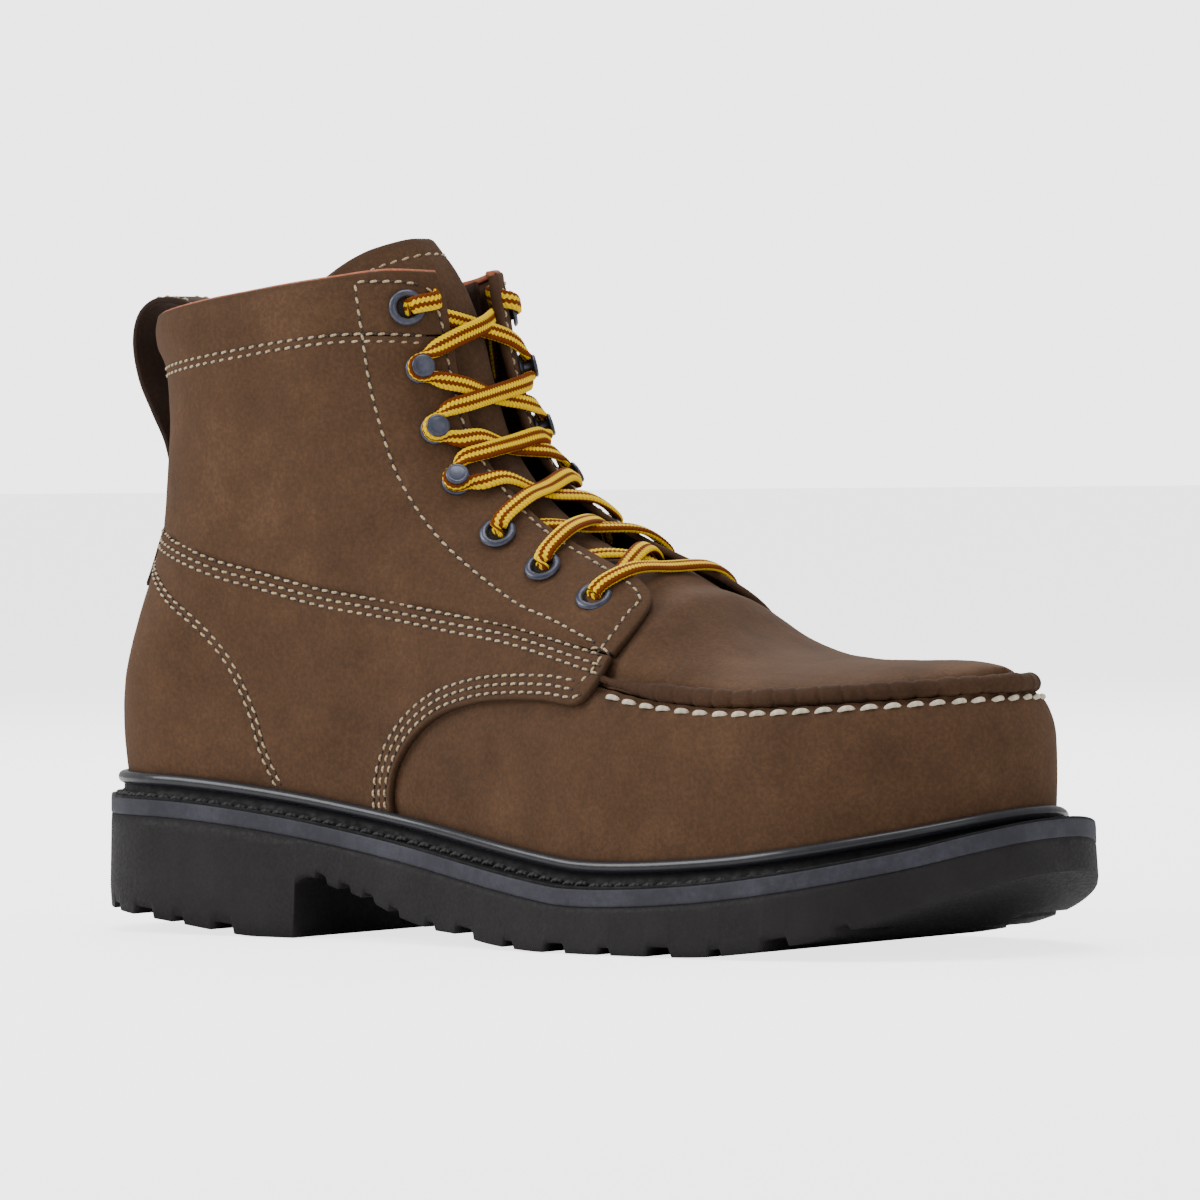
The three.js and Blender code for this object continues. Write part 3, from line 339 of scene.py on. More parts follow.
def nearest3(points, line):
    # distance of points to a line in space
    a, d = line[:-1], np.diff(line, axis=0)
    square = np.maximum((d ** 2).sum(1), 1e-12)
    shape = points.shape[:-1]
    p = points.reshape(-1, 3)
    gap = np.empty(len(p))
    for s in range(0, len(p), 8000):
        q = p[s:s + 8000, None] - a
        t = np.clip((q * d).sum(-1) / square, 0, 1)
        gap[s:s + 8000] = np.sqrt(((q - t[..., None] * d) ** 2).sum(-1)).min(1)
    return gap.reshape(shape)


def rolled(distance, radius=0.75):
    # how far a cut edge rounds down
    d = np.clip(radius - distance, 0, radius)
    return radius - np.sqrt(np.maximum(radius ** 2 - d ** 2, 0))


def sideLine(line, count):
    return line(np.linspace(0, 1, count))


def onSide(line, side):
    # a side-view line laid on the skin
    return onUpper(line[:, 0], line[:, 1], side)


leather = dict(thickness=2.0, hem=0.8, hemWear=1.1, stitchDip=0.3, stitchWidth=0.8, waves=0.25, grain=0.07)


def leatherHalf(at, us, vs, side, hems, seams, lift, thickness, seed, extra=None):
    # outer and inner faces of a panel on one side of the boot, and its wear mask
    x, z = at(us, vs)
    base = onUpper(x, z, side)
    n = outward(x, z, side)
    hem = np.full(x.shape, 50.0)
    for line in hems:
        hem = np.minimum(hem, nearest3(base, onSide(line, side)))
    dip = np.zeros(x.shape)
    for line in seams:
        gap = nearest3(base, onSide(line, side))
        dip = np.maximum(dip, leather["stitchDip"] * np.exp(-(gap / leather["stitchWidth"]) ** 2))
    waves = leather["waves"] * softNoise(x, z, 34, seed) + leather["grain"] * softNoise(x, z, 9, seed + 40)
    up = lift(x, z)
    face = up + waves * ease(hem, 0, 6) - dip - rolled(hem, leather["hem"])
    if extra:
        face = face + extra(x, z)
    wear = np.exp(-hem / leather["hemWear"])
    return base + n * face[..., None], base + n * (up - thickness)[..., None], wear


def roundBack(halves):
    # one piece round the heel from the two sides' grids
    return [np.concatenate([a[::-1], b[1:]]) for a, b in zip(*halves)]


def roundToe(halves):
    return [np.concatenate([a, b[::-1][1:]]) for a, b in zip(*halves)]


def leatherPiece(name, grids, body="boot", replaces=()):
    front, back, wear = grids
    verts, faces = shell(front, back)
    return piece(name, verts, faces, body, replaces, {"wear": np.tile(wear.ravel(), 2)})


def hemmed(count, length, start=False, end=True):
    # evenly spread parameters with more of them at the hems
    close = np.array([0.1, 0.25, 0.45, 0.7, 1.1, 1.6]) / length
    marks = [np.linspace(0, 1, count)]
    if start:
        marks.append(close)
    if end:
        marks.append(1 - close)
    return np.unique(np.concatenate(marks))


def fromSeam(u):
    return 1 - np.cos(u * np.pi / 2)


print("curves and the last's shape ready")

# Lines that are stitched, in the side view
stitchLines = dict(
    facing=[[105.6, 179.5], [108.1, 165.3], [111, 151], [116.3, 134.9], [121.7, 124.2], [131.8, 112], [144.5, 102.2],
            [162, 92.6], [176.5, 87.6], [191.4, 81.8], [195, 80.6]],
    front=[[119.1, 178.2], [120.4, 175.7], [122.3, 168.6], [124.7, 157.9], [127.8, 147.2], [131.2, 138.2],
           [137.1, 129.4], [146.5, 120.4], [156.6, 113.3], [166.4, 108.1], [177.1, 103.3], [188.3, 98],
           [194.4, 94.5], [197.2, 91.9], [197.1, 89.3], [196.6, 83.1], [194.8, 77.5]],
    collarTop=[[105.6, 179.5], [110, 179.6], [115.4, 179.4], [119.1, 178.2]],
    triple=[[22, 112.2], [34.1, 110.3], [48.1, 106.7], [61, 103.1], [72.7, 100.6], [95.4, 95.7], [118.2, 92.5],
            [141.1, 89], [164.4, 85.7], [185.6, 80.8], [197.4, 77.6]],
    tack=[[192, 79.8], [197, 79.2], [196.2, 76], [194.9, 72.8], [191.6, 70.4]],
    counter=[[17.5, 105.5], [30.8, 99.4], [41.1, 93.1], [50.7, 87.3], [60, 79], [65.6, 70.5], [69.9, 60.8],
             [72.9, 51.2], [78.1, 41.6]],
    collar=[[21.5, 156.6], [31.5, 157.1], [62.8, 160.8], [86.2, 163.7], [101.8, 165.1], [112.9, 165.2],
            [121.1, 164.5]],
)


def shifted(points, amount):
    # a line moved sideways in the side view, to its left
    p = np.array(points, float)
    t = unit(np.gradient(p, axis=0))
    return p + np.stack([-t[:, 1], t[:, 0]], -1) * amount


rows = {
    "facing": [spline(stitchLines["facing"], 160)],
    "front": [spline(stitchLines["front"], 220), spline(stitchLines["tack"], 60)],
    "collarTop": [spline(stitchLines["collarTop"], 40)],
    "triple": [spline(stitchLines["triple"], 200) - [0, k] for k in (0, 2.4, 4.5)],
    "counter": [shifted(spline(stitchLines["counter"], 160), k) for k in (0, -1.9)],
    "collar": [spline(stitchLines["collar"], 160) + [0, k] for k in (0, -2.0)],
    "quarterEdge": [shifted(quarterFront(np.linspace(0.09, 0.895 - 0.012 * k, 160)), d)
                    for k, d in enumerate((1.9, 4.1, 6.4))],
}

quarterEdgeLine = sideLine(quarterFront, 150)
facingSeamLine = sideLine(tripleSeam, 120)
collarSeamLine, collarTopLine = sideLine(collarSeam, 120), sideLine(fromBack(collarTop), 120)


lifts = dict(quarter=0.15, quarterEdge=0.95, shaft=0.05, tuck=0.55, corner=1.0, collar=0.2, collarPad=0.9, vamp=1.15)


def quarterLift(x, z):
    gap, _, _ = nearest(quarterEdgeLine, x, z)
    return lifts["quarter"] + lifts["quarterEdge"] * (1 - ease(gap, 2, 16))


def shaftLift(x, z):
    gap, _, _ = nearest(facingSeamLine, x, z)
    tuck = lifts["tuck"] * (1 - ease(gap, 0.2, 2.2)) * (x < 192)
    return lifts["shaft"] - tuck + lifts["corner"] * ease(x, 168, 196) * (1 - ease(z, 96, 112))


def collarLift(x, z):
    gap, _, _ = nearest(collarSeamLine, x, z)
    top, _, _ = nearest(collarTopLine, x, z)
    return lifts["collar"] + lifts["collarPad"] * ease(gap, 1, 7) * ease(top, -1, 6) * (1 - ease(x, 92, 108))


def skinLift(x, z):
    # the outer face's lift at any stitched place
    isQuarter = z < np.interp(x, facingSeamLine[:, 0], facingSeamLine[:, 1])
    isCollar = z > np.interp(x, collarSeamLine[:, 0], collarSeamLine[:, 1])
    return np.where(isQuarter, quarterLift(x, z), np.where(isCollar, collarLift(x, z), shaftLift(x, z)))


# The upper's panels
def roundedPanel(name, at, forward, upward, hems, seams, lift, seed, replaces, thickness=leather["thickness"]):
    # a panel that runs round the heel, the same on both sides
    halves = [leatherHalf(at, fromSeam(forward), upward, side, hems, seams, lift, thickness, seed)
              for side in (outer, inner)]
    return leatherPiece(name, roundBack(halves), replaces=replaces)


def quarterPanel():
    def low(u):
        x = lerp(float(backX(38.4)), 119, u)
        return np.stack([x, ledgeZ(x) + 0.2], -1)
    high = fromBack(tripleSeam)
    at = patch(low, high, seamBack(38.2, float(high(0)[1])), lambda v: quarterFront(lerp(0.055, 1, v)))
    return roundedPanel("quarters", at, hemmed(110, 190), hemmed(72, 76), [quarterEdgeLine, sideLine(high, 120)],
                        rows["triple"] + rows["quarterEdge"] + rows["counter"], quarterLift, 3,
                        ["quarter_outer", "quarter_inner"])


def shaftPanel():
    low, high = above(fromBack(tripleSeam), -1.6), fromBack(collarSeam)
    at = patch(low, high, seamBack(float(low(0)[1]), float(high(0)[1])), facingFront)
    return roundedPanel("shaft", at, hemmed(110, 190), hemmed(88, 90, True), [sideLine(facingFront, 170)],
                        rows["facing"] + rows["front"], shaftLift, 9, ["shaft_outer", "shaft_inner"])


def collarPanel():
    low, high = above(fromBack(collarSeam), -1.2), fromBack(collarTop)
    at = patch(low, high, seamBack(float(low(0)[1]), float(high(0)[1])), collarFront)
    seams = rows["facing"] + rows["front"] + rows["collar"] + rows["collarTop"]
    return roundedPanel("collarBand", at, hemmed(100, 190), hemmed(22, 17, True),
                        [sideLine(collarFront, 60), collarTopLine], seams, collarLift, 15, ["collar"], 2.6)


def mocPlace(u, rise=0.0):
    # a place along the moccasin seam, carried on to the toe's tip
    p = mocSeam(u)
    z = p[..., 1] + rise
    return np.stack([lerp(p[..., 0], tipX(z), u ** 12), z], -1)


def mocLine(count=200, rise=0.0):
    return mocPlace(np.sin(np.linspace(0, 1, count) * np.pi / 2), rise)


pleats = dict(pitch=6.1, radius=2.35, out=0.35, rise=2.4, gather=0.2, pucker=0.22, sink=0.9)


def vampPanel():
    rear = edge([[112, 22], [112, 34], [113, 43], [117, 51], [125, 59], [137, 65], [152, 69], [167.6, 70.2],
                 [181.2, 70.4], [190, 70.6], [198, 70.8]], 200)
    top = lambda u: mocPlace(u, 0.6)

    def low(u):
        x = lerp(112.0, upperTip, u)
        return np.stack([x, ledgeZ(x) + 0.2], -1)

    def tip(v):
        z = lerp(float(ledgeZ(upperTip)) + 0.2, float(top(np.array(1.0))[1]), v)
        return np.stack([tipX(z), z], -1)
    at = patch(low, top, lambda v: rear(lerp(0.06, 1, v)), tip)

    def held(u, v):
        x, z = at(u, v)
        return np.minimum(x, tipX(z)), z

    def lift(x, z):
        # down under the quarter's edge
        gap, _, way = nearest(quarterEdgeLine, x, z)
        return -lifts["vamp"] * (1 - ease(np.where(way > 0, gap, -gap), 0, 7))
    seam = mocLine()

    def pucker(x, z):
        gap, place, _ = nearest(seam, x, z)
        near = np.exp(-np.maximum(gap, 0) / 3.2)
        phase = np.interp(place, np.arange(len(seam)), lengths(onSide(seam, outer))) / pleats["pitch"]
        return near * pleats["pucker"] * np.cos(phase * 2 * np.pi) - pleats["sink"] * np.exp(-(gap / 1.5) ** 2)
    forward = np.sin(np.linspace(0, 1, 190) * np.pi / 2)
    halves = [leatherHalf(held, forward, hemmed(46, 46), side, [], [], lift, leather["thickness"], 21, pucker)
              for side in (outer, inner)]
    return leatherPiece("vampWall", roundToe(halves), replaces=["vamp"])


def plugPanel():
    rear, along, across = 186.0, 150, 60
    s = np.sin(np.linspace(0, 1, along) * np.pi / 2)[:, None] * np.ones((1, across))
    t = np.linspace(0, 1, across)[None] * np.ones((along, 1))

    def station(z):
        return lerp(rear, tipX(z), s)
    seamPoints = mocSeam(np.linspace(0, 1, 80))
    seamHeight = through(np.concatenate([[[180, 76], [190, 73]], seamPoints[seamPoints[:, 0] > 199][::4]]))
    low = seamHeight(station(67 * np.ones_like(s))) + 1.2
    high = topZ(station(74 * np.ones_like(s)))
    halves = []
    for side in (outer, inner):
        y = upperHalf(station(low), low, side) * np.cos(t * np.pi / 2)
        z = search(lambda q: upperHalf(station(q), q, side) > y, low.copy(), high.copy())
        z = np.where(t == 0, low, np.where(t == 1, high, z))
        z[-1] = lerp(low[-1], high[-1], t[-1])
        x = station(z)
        base = onUpper(x, z, side)
        n = outward(x, z, side)
        gap = nearest3(base, onSide(mocLine(), side))
        waves = 0.22 * softNoise(x, base[..., 1], 30, 31) + 0.06 * softNoise(x, base[..., 1], 8, 33)
        sunk = -2.6 * (1 - ease(x, 196, 206))  # its rear end lies under the quarters
        valley = -1.1 * np.exp(-((gap - 4.6) / 2.4) ** 2)  # beside the lip
        face = waves * ease(gap, 1, 8) + sunk + valley
        inside = sunk - leather["thickness"]
        halves.append([base + n * face[..., None], base + n * inside[..., None], 0.5 * np.exp(-gap / 3)])
    grids = [np.concatenate([a, b[:, ::-1][:, 1:]], axis=1) for a, b in zip(*halves)]
    return leatherPiece("plug", grids, replaces=["moc_plug"])


print("cutting the upper")
quarters = quarterPanel()
shaft = shaftPanel()
collarBand = collarPanel()
vampWall = vampPanel()
plug = plugPanel()

# Moccasin lip: the wall's edge turned up and pleated above the seam
def surfaceRail(line, side):
    return onSide(line, side), outward(line[:, 0], line[:, 1], side)


def toeRail(rise, spacing):
    # a rail round the toe at a height above the moccasin seam: points, normals, evenly spaced
    line = mocLine(260, rise)
    pts, ns = [], []
    for side in (outer, inner):
        p, n = surfaceRail(line, side)
        pts.append(p if side == outer else p[::-1][1:])
        ns.append(n if side == outer else n[::-1][1:])
    p, n = np.concatenate(pts), np.concatenate(ns)
    run = lengths(p)
    marks = np.arange(0, run[-1], spacing)
    p = np.stack([np.interp(marks, run, p[:, k]) for k in range(3)], -1)
    n = unit(np.stack([np.interp(marks, run, n[:, k]) for k in range(3)], -1))
    return p, n, marks


def mocLip():
    p, n, marks = toeRail(pleats["rise"], 0.6)
    t = unit(np.gradient(p, axis=0))
    b = unit(np.cross(n, t))
    ends = np.minimum(ease(marks, 2, 26), ease(marks[-1] - marks, 2, 26))
    wobble = 1 + 0.05 * np.sin(marks * 0.37) + 0.04 * np.sin(marks * 0.91 + 1)
    phase = marks / pleats["pitch"] * 2 * np.pi
    gather = pleats["gather"] * np.exp(-(((phase / (2 * np.pi)) % 1 - 0.5) / 0.07) ** 2)
    radius = pleats["radius"] * (0.35 + 0.65 * ends) * wobble * (1 - gather)
    turn = np.linspace(0, 2 * np.pi, 26, endpoint=False)
    c, s = np.cos(turn), np.sin(turn)
    centre = p + n * (pleats["out"] - 0.9 * (1 - ends))[:, None]
    ring = (centre[:, None] + b[:, None] * (radius[:, None] * c * 1.12)[..., None]
            + n[:, None] * (radius[:, None] * 0.98 * s)[..., None])
    verts, faces = tube(ring)
    wear = np.repeat(0.25 * (1 - gather), 26) * (np.tile(s, len(p)) > 0.3)
    return piece("mocLip", verts, faces, attributes={"wear": wear})


# Stitching
thread = dict(pitch=3.4, length=2.35, width=0.72, height=0.62, slant=0.16, rings=7, around=8)
needle = dict(length=1.6, width=0.75, height=0.42, slant=0.0, rings=5, around=6)  # sunk thread between stitches
strapStitch = dict(thread, width=0.8, height=0.6, slant=0.1)
mocThread = dict(pitch=6.1, length=4.8, width=1.45, height=1.25, slant=0.12, rings=11, around=14, drop=-1.35)
weltStitch = dict(pitch=4.6, length=4.508, width=1.7, height=1.35, slant=0.28, rings=9, around=10)


def joined(parts):
    return [np.concatenate(group) for group in zip(*parts)]


def capsules(centres, along, normals, size):
    # one thread stitch at each place
    length, width, height, twist, rings, around = (
        size[key] for key in ("length", "width", "height", "slant", "rings", "around"))
    s = np.linspace(-1, 1, rings)
    fat = np.sqrt(np.maximum(1 - np.abs(s) ** 3.2, 0.02))
    turn = np.linspace(0, 2 * np.pi, around, endpoint=False)
    side = unit(np.cross(normals, along))
    along = unit(along * math.cos(twist) + side * math.sin(twist))
    side = unit(np.cross(normals, along))
    sink = height * 0.75 * s ** 2
    v = (centres[:, None, None]
         + along[:, None, None] * (s * length / 2)[None, :, None, None]
         + side[:, None, None] * (fat[:, None] * np.cos(turn) * width / 2)[None, ..., None]
         + normals[:, None, None] * (fat[:, None] * np.sin(turn) * height / 2 + height * 0.22
                                     - sink[:, None])[None, ..., None])
    verts = v.reshape(-1, 3)
    ends = [list(range(around)), [(rings - 1) * around + j for j in range(around)]]
    one = gridFaces(rings, around, wrap=True) + ends
    faces = []
    for k in range(len(centres)):
        base = k * rings * around
        faces += [[base + i for i in f] for f in one]
    mark = np.tile(np.repeat(s * length / 2, around), len(centres))
    return verts, faces, mark


def sewn(name, places, size, body="boot"):
    verts, faces, mark = capsules(*places, size)
    return piece(name, verts, faces, body, attributes={"run": mark}, tidy=False)


def resample(points, normals, pitch, start=0.0):
    run = lengths(points)
    marks = np.arange(pitch * 0.5 + start, run[-1] - pitch * 0.3, pitch)
    pick = lambda a: np.stack([np.interp(marks, run, a[:, k]) for k in range(3)], -1)
    t = unit(np.gradient(points, axis=0))
    return pick(points), unit(pick(t)), unit(pick(normals))


def rowOf(line):
    # a row's stitches on both sides of the boot, and the sunk thread between them
    shown, under = [], []
    for side in (outer, inner):
        p, n = surfaceRail(line, side)
        lift = skinLift(line[:, 0], line[:, 1])[:, None] - 0.12
        c, t, m = resample(p + n * lift, n, thread["pitch"])
        jitter = dice.normal(0, 0.06, (len(c), 1))
        shown.append((c + t * jitter, t, m))
        under.append((c + t * thread["pitch"] / 2 - m * 0.05, t, m))
    return joined(shown), joined(under)


def stitches(name, lines):
    shown, under = zip(*[rowOf(line) for line in lines])
    return sewn(name + "Thread", joined(shown), thread), sewn(name + "Needle", joined(under), needle)


def mocStitches():
    p, n, _ = toeRail(mocThread["drop"], 0.5)
    c, t, m = resample(p + n * 0.1, n, mocThread["pitch"], 3.0)
    return sewn("mocThread", (c + t * dice.normal(0, 0.12, (len(c), 1)), t, m), mocThread)


print("sewing")
mocLipPiece = mocLip()
threads, needles = zip(*[stitches(name, lines) for name, lines in rows.items()])
mocThreadPiece = mocStitches()

# Sole
sole = dict(lugDepth=2.6, wideGroove=8.0, fineGroove=4.5, reach=19.0, edgeRound=0.42, weltEdge=0.75,
            bandShown=5.0, flare=1.0)
wideSpots = [8, 33, 62, 156, 192, 228, 264]
fineSpots = [19, 46, 98, 107, 116, 126, 141, 174, 210, 246, 281]


def soleStations(fine=0.75):
    # closer together at the round ends and at the heel breast
    length = bootSize["length"]
    k = np.linspace(0, np.pi, int(length / fine))
    x = length * (1 - np.cos(k)) / 2
    x = np.concatenate([x, np.linspace(86.5, 89.5, 12), np.arange(2, 312, 0.8)])
    return np.unique(np.round(np.clip(x, 0.06, length - 0.06), 2))


def grooveDepth(x):
    depth = np.zeros_like(x)
    for spots, width, share in ((wideSpots, sole["wideGroove"], 1), (fineSpots, sole["fineGroove"], 0.75)):
        for spot in spots:
            near = 1 - ease(np.abs(x - spot), width / 2 - 0.7, width / 2 + 0.1)
            depth = np.maximum(depth, sole["lugDepth"] * share * near)
    return depth


def soleSlab(name, lowZ, highZ, replaces, flare, roundTop, tread=False):
    x = soleStations() if tread else soleStations(1.4)
    across = 36 if tread else 8
    groove = grooveDepth(x) if tread else np.zeros_like(x)
    low, high = lowZ(x), highZ(x)
    c = centreLine(x)
    walls = []
    for side in (outer, inner):
        half = soleHalf(x, side)
        wall = [np.stack([x, c + side * (half + flare * w), lerp(high, low + groove, w)], -1)
                for w in np.linspace(0, 1, 9)]
        wall[0] = wall[0] - [0, side * roundTop, 0]
        wall[-1] = wall[-1] - [0, side * sole["edgeRound"], 0]
        walls.append(wall)
    outerEdge, innerEdge = walls[0][-1][:, 1], walls[1][-1][:, 1]
    bottom = []
    for m in np.linspace(0, 1, across)[1:-1]:
        y = lerp(outerEdge, innerEdge, m)
        fromEdge = np.minimum(y - outerEdge, innerEdge - y)
        inside = 1 - ease(fromEdge, sole["reach"] - 2, sole["reach"])
        bottom.append(np.stack([x, y, low + groove * inside], -1))
    verts, faces = tube(np.stack(walls[0] + bottom + walls[1][::-1], 1))
    return piece(name, verts, faces, replaces=replaces)


def midTop(x):
    return ledgeZ(x) - sole["weltEdge"]


def outTop(x):
    return ledgeZ(x) - sole["weltEdge"] - sole["bandShown"]


print("moulding the sole")
outsole = soleSlab("lugSole", treadZ, lambda x: outTop(x) + 0.2, ["outsole"], sole["flare"], 0.15, True)
midsole = soleSlab("soleBand", lambda x: outTop(x) + 0.25, midTop, ["midsole"], 0.1, 0.1)


def weltLoop(count=420):
    angle = 2 * np.pi * (np.arange(count) + 0.5) / count
    part = (1 - np.cos(angle)) / 2
    walls, edges = [], []
    for a, p in zip(angle, part):
        side = outer if math.sin(a) > 0 else inner
        x = lerp(bootSize["heelBack"], upperTip, p)
        z = float(ledgeZ(x))
        wall = onUpper(np.array([x]), np.array([z + 3]), side)[0]
        wall[2] = z
        ex = lerp(0, bootSize["length"], p)
        walls.append(wall)
        ey = float(centreLine(ex)) + side * float(soleHalf(np.array(ex), side))
        edges.append([ex, ey, float(ledgeZ(ex))])
    walls, edges = np.array(walls), np.array(edges)
    # even out the spacing along the wall
    run = lengths(np.concatenate([walls, walls[:1]]))
    marks = np.linspace(0, run[-1], count, endpoint=False)


    def spread(a):
        ring = np.concatenate([a, a[:1]])
        return np.stack([np.interp(marks, run, ring[:, k]) for k in range(3)], -1)
    return spread(walls), spread(edges)


welt = dict(bead=6.4, beadRadius=1.75, beadOut=1.8, beadSteps=15, stitchOut=3.9, wander=0.12)


def weltFrame():
    wall, rim = weltLoop()
    flat = (rim - wall) * [1, 1, 0]
    return wall, rim, unit(flat), np.linalg.norm(flat, axis=1)


def weltStrip():
    wall, rim, out, wide = weltFrame()
    up = np.array([0, 0, 1.0])
    at = lambda o, h: wall + out * np.reshape(o, (-1, 1)) + up * h
    radius = welt["beadRadius"]
    beadAt = welt["bead"] - radius
    sections = [at(-2.4, -2.4), at(-2.4, -0.2), at(0.6, 0.0), at(0.6, 4.6)]
    for a in np.radians(np.linspace(205, -75, welt["beadSteps"])):
        sections.append(at(welt["beadOut"] + radius * math.cos(a), beadAt + radius * math.sin(a)))
    beadRings = len(sections)
    # the neck, the groove and the ledge, which are painted near-black as shade
    sections += [at(1.9, beadAt - 2.1), at(1.9, 1.5), at(2.3, 0.75), at(2.9, -0.25), at(3.5, -0.45)]
    for share, h in ((0.55, -0.35), (0.8, -0.1), (0.93, 0.0)):
        reach = np.maximum(lerp(3.5, wide, share), 3.5)
        sections.append(wall + out * reach[:, None] + up * h + (rim - wall) * [0, 0, 1] * share)
    sections += [rim - out * 0.15 + up * -0.15, rim - out * 0.05 + up * -0.8, rim - out * 1.5 + up * -0.95]
    verts, faces = tube(np.stack(sections, 1), True)
    # deep marks the sections from the neck on, where painted shade darkens the welt to near black
    deep = np.tile(np.arange(len(sections)) >= beadRings, len(wall))
    return piece("weltStrip", verts, faces, replaces=["welt"], attributes={"deep": deep})


def weltStitches():
    wall, _, out, wide = weltFrame()
    p = wall + out * np.minimum(welt["stitchOut"], wide * 0.6)[:, None] + [0, 0, -0.1]
    n = unit(np.concatenate([out, out[:1]]) * 0.45 + [0, 0, 1])
    c, t, m = resample(np.concatenate([p, p[:1]]), n, weltStitch["pitch"])
    c = c + m * dice.normal(0, welt["wander"], (len(c), 1))
    return sewn("weltThread", (c, t, m), weltStitch)


print("storm welt")
weltPiece = weltStrip()
weltThread = weltStitches()

# Eyelets, hooks and lace
eyeletPlaces = [[116.8, 172.2], [149.8, 110.5], [166.6, 101.3], [185.5, 93.3]]
hookPlaces = [[121, 155.5], [126.2, 138.8], [134.4, 124.6]]
sides = {"outer": outer, "inner": inner}
lace = dict(width=4.9, thickness=2.0, onEdge=2.6, stemTurn=2.95, step=0.42, around=22, braid=1.25, tuckedIn=3.45)


def skin(x, z, side, lift=0.0):
    a, b = np.array([float(x)]), np.array([float(z)])
    return onUpper(a, b, side)[0] + outward(a, b, side)[0] * lift


def skinNormal(x, z, side):
    return outward(np.array([float(x)]), np.array([float(z)]), side)[0]


def alongRidge(x, z):
    return float(nearest(ridge, np.array([float(x)]), np.array([float(z)]))[1][0])


def ridgeFrame(k):
    a, b = ridge[int(k)], ridge[int(k) + 1]
    down = unit(b - a)
    return lerp(a, b, k - int(k)), np.array([-down[0], 0, -down[1]]), np.array([-down[1], 0, down[0]])


def frontTables():
    # where the facing's front edge is, by the place along the ridge
    line = np.concatenate([facingFront(np.linspace(0, 1, 51)), collarFront(np.linspace(0, 1, 21))])
    line = line[line[:, 1] > 92]
    k = np.array([alongRidge(x, z) for x, z in line])
    order = np.argsort(k)
    k, line = k[order], line[order]
    keep = np.concatenate([[True], np.diff(k) > 0.05])
    column = lambda c: lambda q: float(np.interp(q, k[keep], line[keep, c]))
    return column(0), column(1)


frontX, frontZ = frontTables()


class Fitting:
    # n out of the leather, rise up along the facing, away from the middle of the boot
    def __init__(self, place, side):
        self.n = skinNormal(*place, side)
        up = ridgeFrame(alongRidge(*place))[1]
        self.rise = unit(up - self.n * up.dot(self.n))
        self.away = np.cross(self.n, self.rise) * -side
        self.centre = skin(*place, side)

    def at(self, out, outwards, upward):
        return self.centre + self.n * out + self.away * outwards + self.rise * upward


def outThrough(place, side, enter, leave):
    f = Fitting(place, side)
    return [(f.at(-3.9, -2.6, enter), -f.n - 0.2 * f.away, None),
            (f.at(-2.2, -0.35, enter * 0.2), -lerp(f.n, f.away, 0.7), 4.6),
            (f.at(-0.2, 0, 0), -f.away, 4.5),
            (f.at(1.7, -0.5, leave * 0.2), -f.away + 0.7 * f.n, 4.6),
            (f.at(2.5, -2.9, leave), f.n, None)]


def roundHook(place, side):
    f = Fitting(place, side)
    r, edgeWise = lace["stemTurn"], lace["onEdge"]
    slant = lambda a, up: f.away * a + f.rise * up
    knot = lambda outwards, up, m, width, out=2.3: (f.at(out, outwards, up), m, width)
    return [knot(-5.4, -r - 1.6, f.n, None, 1.9), knot(-2.2, -r - 0.3, f.n - f.rise, 3.6),
            knot(0, -r, -f.rise, edgeWise), knot(r * 0.71, -r * 0.71, slant(1, -1), edgeWise),
            knot(r, 0, f.away, edgeWise), knot(r * 0.71, r * 0.71, slant(1, 1), edgeWise),
            knot(0, r, f.rise, edgeWise), knot(-2.2, r + 0.3, f.n + f.rise, 3.6),
            knot(-5.4, r + 1.6, f.n, None, 1.9)]


ridgeStep = float(np.mean(np.linalg.norm(np.diff(ridge, axis=0), axis=1)))


def acrossTongue(start, end, side, dives):
    # over its own facing's edge, over the tongue, then over or under the other facing's edge
    turn = lace["stemTurn"] / ridgeStep
    k0 = alongRidge(*start) - turn * (start in hookPlaces)
    k1 = alongRidge(*end) + turn * (end in hookPlaces)
    spread = lambda place: float(upperHalf(np.array([place[0]]), np.array([place[1]]), side)[0])
    over = side == outer
    span = spread(start) + spread(end)

    def atEdge(fraction, on, lift):
        k = lerp(k0, k1, fraction)
        return skin(frontX(k), frontZ(k), on, lift), skinNormal(frontX(k), frontZ(k), on), None
    k = lerp(k0, k1, 0.2)
    first = spread((frontX(k), frontZ(k)))
    leave = min(max((spread(start) - first) / span, 0.05), 0.45)
    arrive = 1 - min(max((spread(end) - first) / span, 0.05), 0.45)
    a = atEdge(leave, side, 1.9 if over else 1.3)
    b = atEdge(arrive, -side, -2.9 if dives else (1.9 if over else 1.3))
    out = ridgeFrame(lerp(k0, k1, 0.5))[2]
    centre = lerp(a[0], b[0], (0.5 - leave) / (arrive - leave)) * [1, 0, 1]
    line = atEdge(0.5, outer, 0.9)[0] * [1, 0, 1]
    centre = centre + out * ((line - centre).dot(out) + (1.25 if over else -0.95))
    return [a, (centre, out, None), b]


